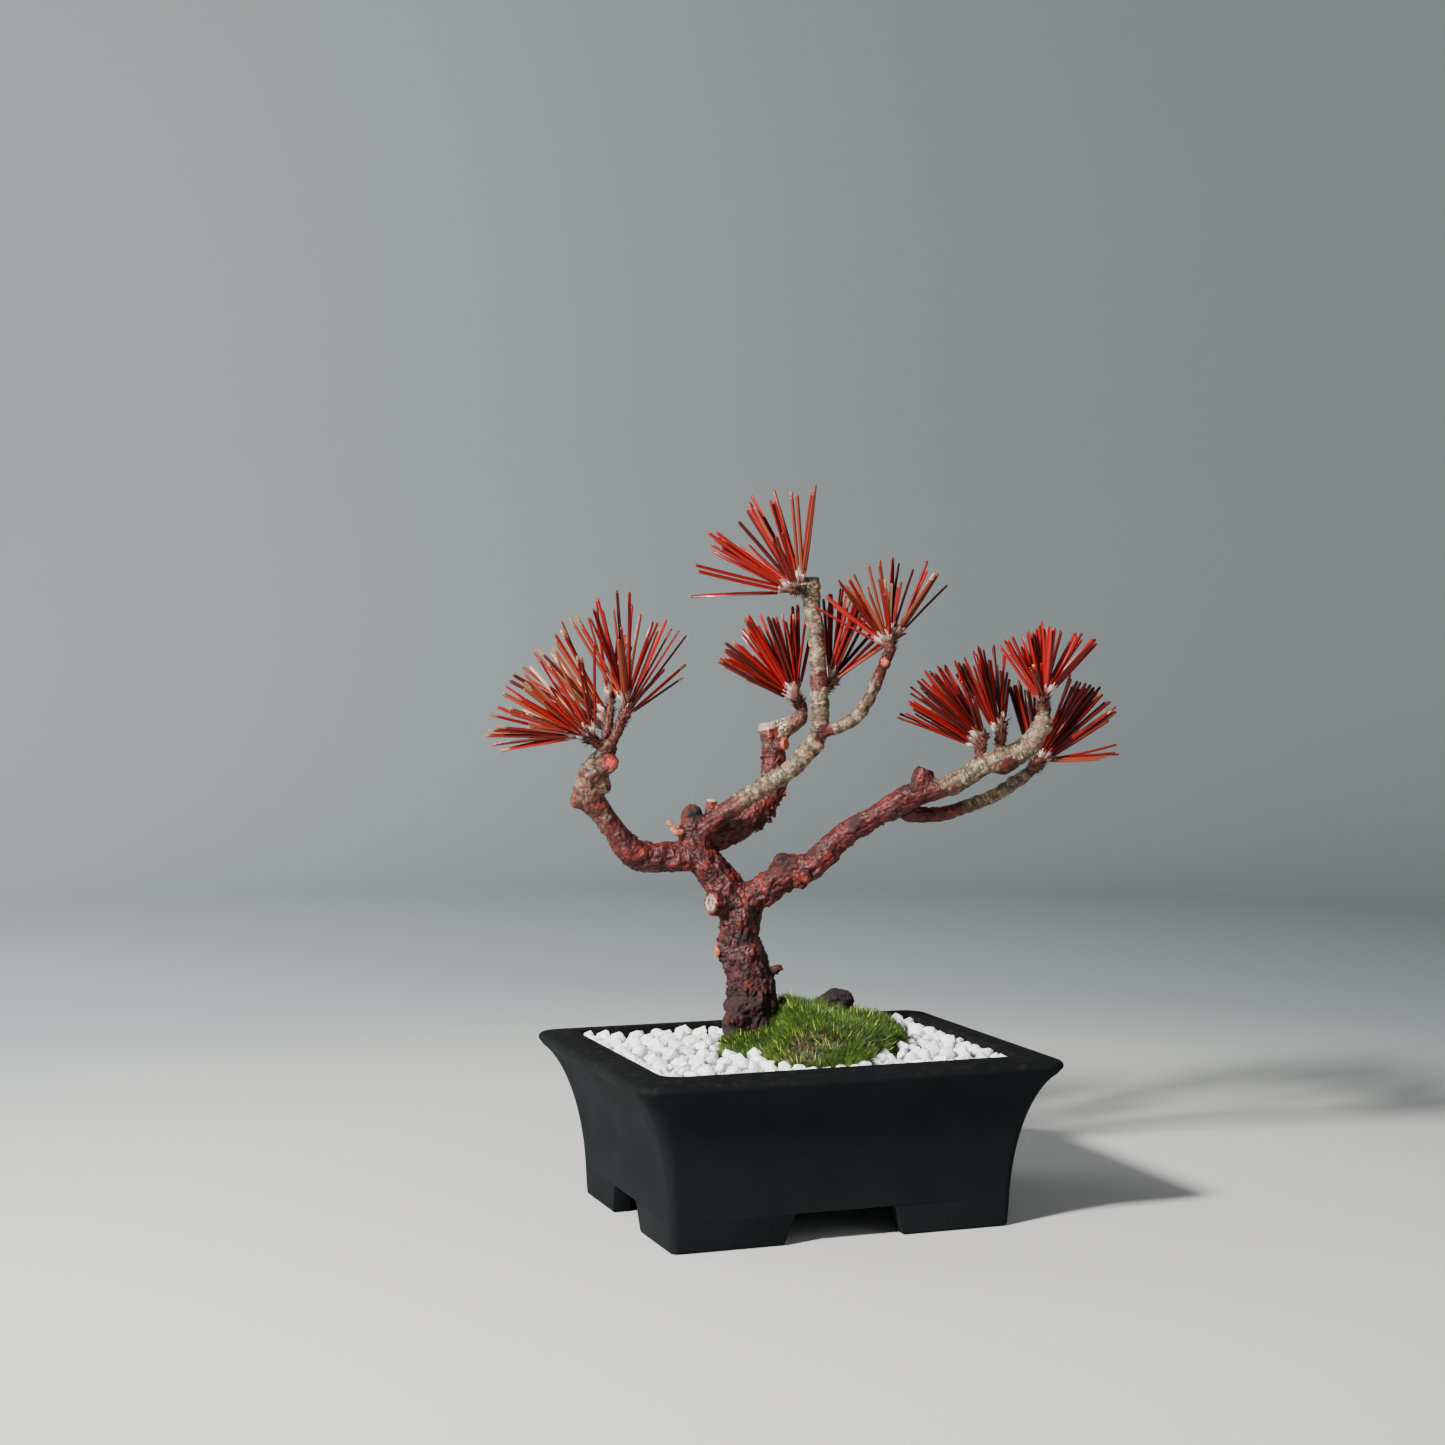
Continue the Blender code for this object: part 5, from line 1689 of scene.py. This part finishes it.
def shapes_on_points(nodes, entry, points, base_turn, selection, scale):
    """Real copies of a collection's shapes on points, turned by their base turn and then tumbled."""
    shapes = chosen_shapes(nodes, entry)
    last = nodes.minus(entry["Shape count"], 1.0)
    turns = nodes.combine(entry["Tumble"], entry["Tumble"], math.pi)
    back = nodes.vector("MULTIPLY", turns, (-1, -1, -1))
    tumble = random_value(nodes, entry, "FLOAT_VECTOR", back, turns, 11)
    turned = nodes.add("FunctionNodeEulerToRotation", {0: tumble}).outputs[0]
    inputs = {0: base_turn, 1: turned}
    rotation = nodes.add("FunctionNodeRotateRotation", inputs, rotation_space="LOCAL").outputs[0]
    placed = nodes.add(
        "GeometryNodeInstanceOnPoints",
        {
            "Points": points, "Selection": selection, "Instance": shapes, "Pick Instance": True,
            "Instance Index": random_value(nodes, entry, "INT", 0, last, 5),
            "Rotation": rotation, "Scale": scale,
        },
    )
    tone = random_value(nodes, entry, "FLOAT", 0.0, entry["Tone"], 9)
    toned = stored_value(nodes, placed.outputs[0], "tone", tone, "INSTANCE")
    return finished(nodes, toned, entry["Material"])


SHAPE_SOCKETS = {
    "Geometry": (GEOMETRY, None), "Shapes": ("NodeSocketCollection", None),
    "Shape count": ("NodeSocketInt", 4), "Tumble": (FLOAT, 3.14), "Tone": (FLOAT, 1.0),
    "Seed": ("NodeSocketInt", 1), "Material": (MATERIAL, None),
}
MOST_POINTS = 4.0e6


def scatter_tree():
    """A geometry tree that scatters shapes over a surface, in patches where wanted."""
    nodes, entry, out = new_tree(
        "scatter", "GeometryNodeTree",
        {
            **SHAPE_SOCKETS, "Spacing": (FLOAT, 4.0), "Smallest": (FLOAT, 0.8), "Largest": (FLOAT, 1.2),
            "Follow slope": (FLOAT, 0.0), "Patch size": (FLOAT, 10.0), "Patch share": (FLOAT, 1.0),
            "Spot": (VECTOR, None), "Spot reach": (FLOAT, 1.0), "Bare reach": (FLOAT, 0.0001),
        },
        {"Geometry": GEOMETRY},
    )
    points = nodes.add(
        "GeometryNodeDistributePointsOnFaces",
        {
            "Mesh": entry["Geometry"], "Distance Min": nodes.times(entry["Spacing"], MM),
            "Density Max": MOST_POINTS, "Seed": entry["Seed"],
        },
        distribute_method="POISSON",
    )
    where = nodes.add("GeometryNodeInputPosition").outputs[0]
    shifted = nodes.vector("ADD", where, nodes.combine(entry["Seed"]))
    patches = nodes.noise(shifted, nodes.per_size(entry["Patch size"]))
    distance = nodes.add("ShaderNodeVectorMath", {0: where, 1: entry["Spot"]}, operation="DISTANCE")
    from_spot = distance.outputs["Value"]
    beyond = nodes.spread(nodes.math("DIVIDE", from_spot, entry["Spot reach"]), 0.5, 1.2)
    within = nodes.spread(nodes.math("DIVIDE", from_spot, entry["Bare reach"]), 1.3, 0.5, 0.0, 0.32)
    beyond = nodes.plus(beyond, within)
    loose = random_value(nodes, entry, "FLOAT", -0.08, 0.08, 3)
    edge = nodes.spread(entry["Patch share"], 0.0, 1.0, 0.3, 0.75)
    kept = nodes.math("LESS_THAN", nodes.plus(nodes.plus(patches, loose), beyond), edge)
    sloped = nodes.add(
        "FunctionNodeAlignRotationToVector",
        {"Factor": entry["Follow slope"], "Vector": points.outputs["Normal"]},
        axis="Z",
    ).outputs[0]
    scale = random_value(nodes, entry, "FLOAT", entry["Smallest"], entry["Largest"], 7)
    shapes = shapes_on_points(nodes, entry, points.outputs["Points"], sloped, kept, scale)
    nodes.feed(out.inputs[0], shapes)
    return nodes.tree


def aimed_tree():
    """A geometry tree that sets shapes on points. Each point's own attributes give the shape's aim,
    its side, and its size in three directions."""
    nodes, entry, out = new_tree("aimed", "GeometryNodeTree", SHAPE_SOCKETS, {"Geometry": GEOMETRY})
    turn = nodes.add(
        "FunctionNodeAxesToRotation",
        {0: nodes.named("aim", "FLOAT_VECTOR"), 1: nodes.named("side", "FLOAT_VECTOR")},
        primary_axis="Z", secondary_axis="X",
    )
    placed = nodes.add(
        "GeometryNodeInstanceOnPoints",
        {
            "Points": entry["Geometry"], "Instance": chosen_shapes(nodes, entry), "Pick Instance": True,
            "Instance Index": nodes.named("shape", "INT"), "Rotation": turn.outputs[0],
            "Scale": nodes.named("size", "FLOAT_VECTOR"),
        },
    )
    nodes.feed(out.inputs[0], finished(nodes, placed.outputs[0], entry["Material"]))
    return nodes.tree


def strewn_tree():
    """A geometry tree that lays shapes on points, each as wide as its point's width says."""
    nodes, entry, out = new_tree("strewn", "GeometryNodeTree", SHAPE_SOCKETS, {"Geometry": GEOMETRY})
    level = nodes.add("FunctionNodeEulerToRotation").outputs[0]
    shapes = shapes_on_points(nodes, entry, entry["Geometry"], level, True, nodes.named("width"))
    nodes.feed(out.inputs[0], shapes)
    return nodes.tree


def grown(name, source, tree, shapes, values):
    """A piece made by a geometry tree that puts shapes on a copy of a mesh."""
    piece = linked(bpy.data.objects.new(name, source.data.copy()))
    piece.data.materials.clear()
    geometry_modifier(piece, tree, {"Shapes": shapes, "Shape count": len(shapes.objects), **values})
    return settle(piece)


def point_object(name, places, attributes):
    """Loose points, in millimetres, with named attributes."""
    mesh = bpy.data.meshes.new(name)
    mesh.from_pydata([Vector(spot) * MM for spot in places], [], [])
    for attribute, values in attributes.items():
        set_attribute(mesh, attribute, values)
    return bpy.data.objects.new(name, mesh)


SCATTER = scatter_tree()
AIMED = aimed_tree()
STREWN = strewn_tree()


# Pebbles, made one unit wide from random places, the sunken ones below them, and the sheet that those
# are scattered on
STONE_SHAPES = 9
STONE_CORNERS = 17
STONE_CORNER_REACH = (0.78, 1.08)
STONE_HALF = (0.57, 0.49, 0.44)
STONE_EDGE = 0.035
STONE_CROWDING = 1.04
SUNK_SPACING = 4.6
SUNK_HEIGHT = 69.0
SUNK_WIDTH = (5.5, 7.5)
BED_CELL = 2.0
MOSS_OVERLAP = 2.0
RIM_CLEARANCE = 3.0


def stone_shapes():
    """A few angular pebbles one unit wide: the hull of random places, with its edges worn round."""
    stones = []
    rng = random.Random(77)
    for number in range(STONE_SHAPES):
        bm = bmesh.new()
        for _ in range(STONE_CORNERS):
            spot = random_vector(rng.gauss, 0, 1).normalized() * rng.uniform(*STONE_CORNER_REACH)
            bm.verts.new([spot[axis] * STONE_HALF[axis] for axis in range(3)])
        hull = bmesh.ops.convex_hull(bm, input=bm.verts)
        loose = [item for item in hull["geom_interior"] if isinstance(item, bmesh.types.BMVert)]
        bmesh.ops.delete(bm, geom=loose, context="VERTS")
        bmesh.ops.bevel(bm, geom=bm.edges[:] + bm.verts[:], offset=STONE_EDGE, segments=1,
                        affect="EDGES", clamp_overlap=True)
        bmesh.ops.recalc_face_normals(bm, faces=bm.faces)
        stone = object_of(f"stone_{number}", bm, link=False)
        shade(stone, 28)
        stones.append(stone)
    return collection_of("stones", stones)


def stone_places():
    """Where each pebble lies and how wide it is, by the source's rule: they are thrown at random, the
    wide ones first, and one that would lie on another is left out."""
    rng = random.Random(11)
    reach = [half + STONE_MARGIN for half in MOUTH_HALF]
    narrow, wide = STONE_WIDTH
    stones = []
    for throw in range(STONE_THROWS):
        width = wide + (narrow - wide) * (throw / STONE_THROWS) ** 0.3
        x, y = rng.uniform(-reach[0], reach[0]), rng.uniform(-reach[1], reach[1])
        if all(math.hypot(x - a, y - b) > (width + other) / 2 for a, b, other in stones):
            stones.append((x, y, width))
    return stones


def on_gravel(x, y, clearance):
    """True inside the pot's mouth by a clearance, and outside the moss and the trunk."""
    if abs(x) > MOUTH_HALF[0] - clearance or abs(y) > MOUTH_HALF[1] - clearance:
        return False
    off_x, off_y = x - MOSS_MIDDLE[0], y - MOSS_MIDDLE[1]
    if math.hypot(off_x, off_y) < moss_radius(math.atan2(off_y, off_x)) - MOSS_OVERLAP:
        return False
    foot = place(*LIMBS["trunk"][0][:3])
    return math.hypot(x - foot.x, y - foot.y) > LIMBS["trunk"][0][3]


def bed_surface(height):
    """A flat sheet at a height over the gravel's ground."""
    half_x, half_y = MOUTH_HALF
    columns, rows = int(2 * half_x / BED_CELL), int(2 * half_y / BED_CELL)
    vertices = []
    for row in range(rows + 1):
        for column in range(columns + 1):
            vertices.append((-half_x + column * BED_CELL, -half_y + row * BED_CELL, height))
    faces = []
    for row in range(rows):
        for column in range(columns):
            corner = row * (columns + 1) + column
            if on_gravel(*vertices[corner][:2], RIM_CLEARANCE):
                faces.append((corner, corner + 1, corner + columns + 2, corner + columns + 1))
    return mesh_object("bed", vertices, faces)


def make_gravel(marble):
    """White pebbles where the source throws them, over a layer of sunken ones."""
    shapes = stone_shapes()
    places, widths = [], []
    for x, y, width in stone_places():
        half = STONE_HALF[2] * width * STONE_CROWDING
        x = max(-MOUTH_HALF[0] + half, min(MOUTH_HALF[0] - half, x))
        y = max(-MOUTH_HALF[1] + half, min(MOUTH_HALF[1] - half, y))
        if on_gravel(x, y, 0.0):
            places.append((x, y, STONE_TOP + TOP_BY_WIDTH * width - half))
            widths.append(width * STONE_CROWDING * MM)
    narrow, wide = (width * MM for width in SUNK_WIDTH)
    lying = {"Tumble": 0.7, "Tone": 0.22, "Seed": 14}
    # The sunken pebbles may be greyed far more than those on top: painted shade in the gaps.
    sunk = {"Spacing": SUNK_SPACING, "Smallest": narrow, "Largest": wide, "Tone": 0.8, "Seed": 31}
    pieces = []
    for name, source, tree, values in (
        ("pebbles_on_top", point_object("stone_places", places, {"width": widths}), STREWN, lying),
        ("pebbles_below", bed_surface(SUNK_HEIGHT), SCATTER, sunk),
    ):
        pieces.append(grown(name, source, tree, shapes, {**values, "Material": marble}))
        remove(source)
    return pieces


# Moss leaves in millimetres, how they stand in a sprig, and the thinner ones of the bright yellow strands
# that are painted glints of light
SPRIG_LEAVES = 10
SPRIG_SHAPES = 6
LEAF_LENGTH = (2.4, 4.8)
LEAF_HALF_WIDTH = 0.15
LEAF_SPREAD = (0.05, 0.65)
LEAF_FOOT = (0.1, 0.5)
LEAF_KEEL = 0.25
LEAF_FACES = ((0, 1, 3), (1, 2, 3), (2, 0, 3), (0, 2, 1))
LEAF_SIZES = (0.7, 1.2)
STRAND_LEAVES = 2
STRAND_HALF_WIDTH = 0.09


def sprig_shapes(name, leaves, half_width):
    """A few sprigs of moss, each of thin three-sided leaves that spread from one foot."""
    sprigs = []
    rng = random.Random(61)
    for number in range(SPRIG_SHAPES):
        vertices, faces = [], []
        for leaf in range(leaves):
            heading = 2 * math.pi * (leaf + rng.uniform(-0.4, 0.4)) / leaves
            out = Vector((math.cos(heading), math.sin(heading), 0))
            across = Vector((-out.y, out.x, 0)) * half_width
            length = rng.uniform(*LEAF_LENGTH)
            foot = out * rng.uniform(*LEAF_FOOT)
            tip = foot + (Vector((0, 0, 1)) + out * rng.uniform(*LEAF_SPREAD)).normalized() * length
            first = len(vertices)
            vertices += [foot - across, foot + across, foot + out * LEAF_KEEL, tip]
            faces += [[first + corner for corner in face] for face in LEAF_FACES]
        sprigs.append(mesh_object(f"{name}_{number}", vertices, faces, link=False))
    return collection_of(name, sprigs)


# Where the moss is dry, at its front. Each tone grows out to a reach from there, and thinly within
# another, in metres.
DRY_SPOT = (-6.0, -31.0, 80.0)
DRY = (0.024, 0.0001)
FRESH = (1.0, 0.012)
ALL_OVER = (1.0, 0.0001)

# Each tone of moss: light and dark, spacing, length of its leaves, size and share of its patches, and
# where it grows
MOSS_TONES = {
    "moss_green": ((0.062, 0.14, 0.004), (0.008, 0.024, 0.0015), 1.42, 1.0, 7.0, 0.74, FRESH),
    "moss_lime": ((0.13, 0.21, 0.008), (0.035, 0.08, 0.003), 2.5, 1.1, 10.0, 0.42, FRESH),
    "moss_olive": ((0.07, 0.05, 0.016), (0.014, 0.012, 0.005), 1.8, 0.8, 7.0, 0.5, ALL_OVER),
    # Painted highlight: the bright yellow strands stand for glints of light on the moss's thin leaves.
    "moss_yellow": ((0.8, 0.85, 0.12), (0.42, 0.52, 0.04), 2.7, 1.15, 9.0, 0.42, ALL_OVER),
    "moss_straw": ((0.22, 0.15, 0.085), (0.04, 0.024, 0.014), 2.0, 0.75, 7.0, 0.5, DRY),
}


def make_moss(cushion):
    """Moss leaves over the cushion, one piece for each of their tones."""
    sprigs = sprig_shapes("sprigs", SPRIG_LEAVES, LEAF_HALF_WIDTH)
    strands = sprig_shapes("strands", STRAND_LEAVES, STRAND_HALF_WIDTH)
    pieces = []
    for seed, (name, values) in enumerate(MOSS_TONES.items()):
        light, dark, spacing, length, patch, share, (reach, bare) = values
        smallest, largest = (size * length for size in LEAF_SIZES)
        pieces.append(grown(name, cushion, SCATTER, strands if name == "moss_yellow" else sprigs, {
            "Spacing": spacing, "Smallest": smallest, "Largest": largest, "Tumble": 0.3,
            "Follow slope": 0.75, "Patch size": patch, "Patch share": share, "Seed": 5 + seed,
            "Spot": Vector(DRY_SPOT) * MM, "Spot reach": reach, "Bare reach": bare,
            "Material": moss_material(name, light, dark),
        }))
    return pieces


def dress(piece, slot, *nodes):
    """Sets a finished piece on the frame in place of the nodes that it stands for."""
    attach(piece, "root")
    if nodes:
        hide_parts(*nodes)


# The studio, in metres, and its lights: place, aim, size, power and colour
STUDIO_RADIUS = 1.9
STUDIO_SWEEP = 0.5
SWEEP_STEPS = 12
STUDIO_WALL = 1.3
STUDIO_SIDES = 96
LIGHT_AIM = (0.0, 0.0, 0.14)
LIGHTS = {
    "key": ((-1.3, -0.62, 1.12), 0.2, 108.0, (1.0, 0.985, 0.96)),
    "back": ((-1.35, 1.0, 1.0), 1.2, 14.0, (0.96, 0.98, 1.0)),
    "fill": ((0.9, -1.3, 0.9), 1.2, 5.0, (0.94, 0.97, 1.0)),
}
SKY_COLOUR = (0.9, 0.95, 1.0, 1.0)
SKY_STRENGTH = 0.2


def make_studio():
    """A round pale floor that sweeps up into a plain wall, well outside every camera."""
    profile = [(0.0, 0.0), (STUDIO_RADIUS - STUDIO_SWEEP, 0.0)]
    for step in range(1, SWEEP_STEPS + 1):
        angle = math.pi / 2 * step / SWEEP_STEPS
        reach = STUDIO_RADIUS - STUDIO_SWEEP * (1 - math.sin(angle))
        profile.append((reach, STUDIO_SWEEP * (1 - math.cos(angle))))
    profile.append((STUDIO_RADIUS, STUDIO_WALL))
    bm = bmesh.new()
    line = [bm.verts.new((radius, 0, height)) for radius, height in profile]
    edges = [bm.edges.new(pair) for pair in zip(line, line[1:])]
    turn = {"cent": (0, 0, 0), "axis": (0, 0, 1), "angle": 2 * math.pi, "steps": STUDIO_SIDES}
    bmesh.ops.spin(bm, geom=line + edges, **turn)
    bmesh.ops.remove_doubles(bm, verts=bm.verts, dist=1e-5)
    bmesh.ops.recalc_face_normals(bm, faces=bm.faces)
    studio = object_of("studio", bm)
    studio.data.shade_smooth()
    studio.data.materials.append(floor_material())


def make_lights():
    """A key from high on the left, a soft light from behind, a broad fill and a soft grey sky."""
    for name, (spot, size, power, colour) in LIGHTS.items():
        data = bpy.data.lights.new(name, "AREA")
        data.shape = "DISK"
        data.size = size
        data.energy = power
        data.color = colour
        light = linked(bpy.data.objects.new(name, data))
        light.location = spot
        light.rotation_euler = (Vector(LIGHT_AIM) - Vector(spot)).to_track_quat("-Z", "Y").to_euler()
    world = bpy.data.worlds.new("sky")
    world.use_nodes = True
    sky = world.node_tree.nodes["Background"]
    sky.inputs["Color"].default_value = SKY_COLOUR
    sky.inputs["Strength"].default_value = SKY_STRENGTH
    bpy.context.scene.world = world


# The camera in millimetres, as fitted to the photograph's corners of the pot
CAMERA_PLACE = (-417.7, -1026.2, 264.8)
CAMERA_HEADING = math.radians(20.44)
CAMERA_PITCH = math.radians(2.16)
CAMERA_ROLL = math.radians(0.30)
FOCAL_PIXELS = 2435.0
PHOTO_PIXELS = 1445.0
SENSOR_WIDTH = 36.0


def make_camera():
    """The camera of the photograph: its place, heading, pitch, roll and angle of view."""
    data = bpy.data.cameras.new("camera")
    data.sensor_width = SENSOR_WIDTH
    data.lens = SENSOR_WIDTH * FOCAL_PIXELS / PHOTO_PIXELS
    forward = Vector((
        math.sin(CAMERA_HEADING) * math.cos(CAMERA_PITCH),
        math.cos(CAMERA_HEADING) * math.cos(CAMERA_PITCH),
        -math.sin(CAMERA_PITCH),
    ))
    right = Vector((math.cos(CAMERA_HEADING), -math.sin(CAMERA_HEADING), 0))
    up = right.cross(forward)
    rolled_right = right * math.cos(CAMERA_ROLL) + up * math.sin(CAMERA_ROLL)
    rolled_up = up * math.cos(CAMERA_ROLL) - right * math.sin(CAMERA_ROLL)
    turn = Matrix((rolled_right, rolled_up, -forward)).transposed()
    camera = linked(bpy.data.objects.new("camera", data))
    camera.matrix_world = Matrix.Translation(Vector(CAMERA_PLACE) * MM) @ turn.to_4x4()
    bpy.context.scene.camera = camera


def dress_tree():
    """Bark, flakes, needles, sheaths, scales and flecks in place of the limbs and the needle masses."""
    skin = make_skin(bark())
    dress(skin, "red_bark", *LIMBS, "surface_root")
    dress(make_flakes(skin, flake_material()), "red_bark")
    needles, sheaths = make_needles(grow_crown())
    dress(needles[0], "red_needles", *TUFTS)
    for piece in needles[1:]:
        dress(piece, "red_needles")
    papers = {name: sheath_material(*paper) for name, paper in PAPERS.items()}
    scales = make_scales(papers["sheaths_brown"])
    residue = make_residue(papers["sheaths_pale"])
    for piece in (*make_sheaths(sheaths, papers), scales, residue):
        dress(piece, "grey_bark")


def dress_pot():
    """Glazed pot, pebbles and moss in place of theirs, and a material on the soil."""
    pot = make_pot()
    pot.data.materials.append(pot_glaze())
    dress(pot, "black_glaze", "pot")
    on_top, below = make_gravel(stone_material())
    dress(on_top, "white_stone", "gravel")
    dress(below, "white_stone")
    cushion = make_moss_cushion()
    # Painted shade: the cushion is dark so the gaps between the moss leaves look shaded.
    cushion.data.materials.append(moss_material("moss_base", *MOSS_BASE_SHADE_TONES, 0.9))
    dress(cushion, "green_moss", "moss")
    for piece in make_moss(cushion):
        dress(piece, "green_moss")
    soil = frame["nodes"]["soil"]
    soil.data.materials.clear()
    soil.data.materials.append(soil_material())


make_camera()
make_studio()
make_lights()
dress_pot()
dress_tree()
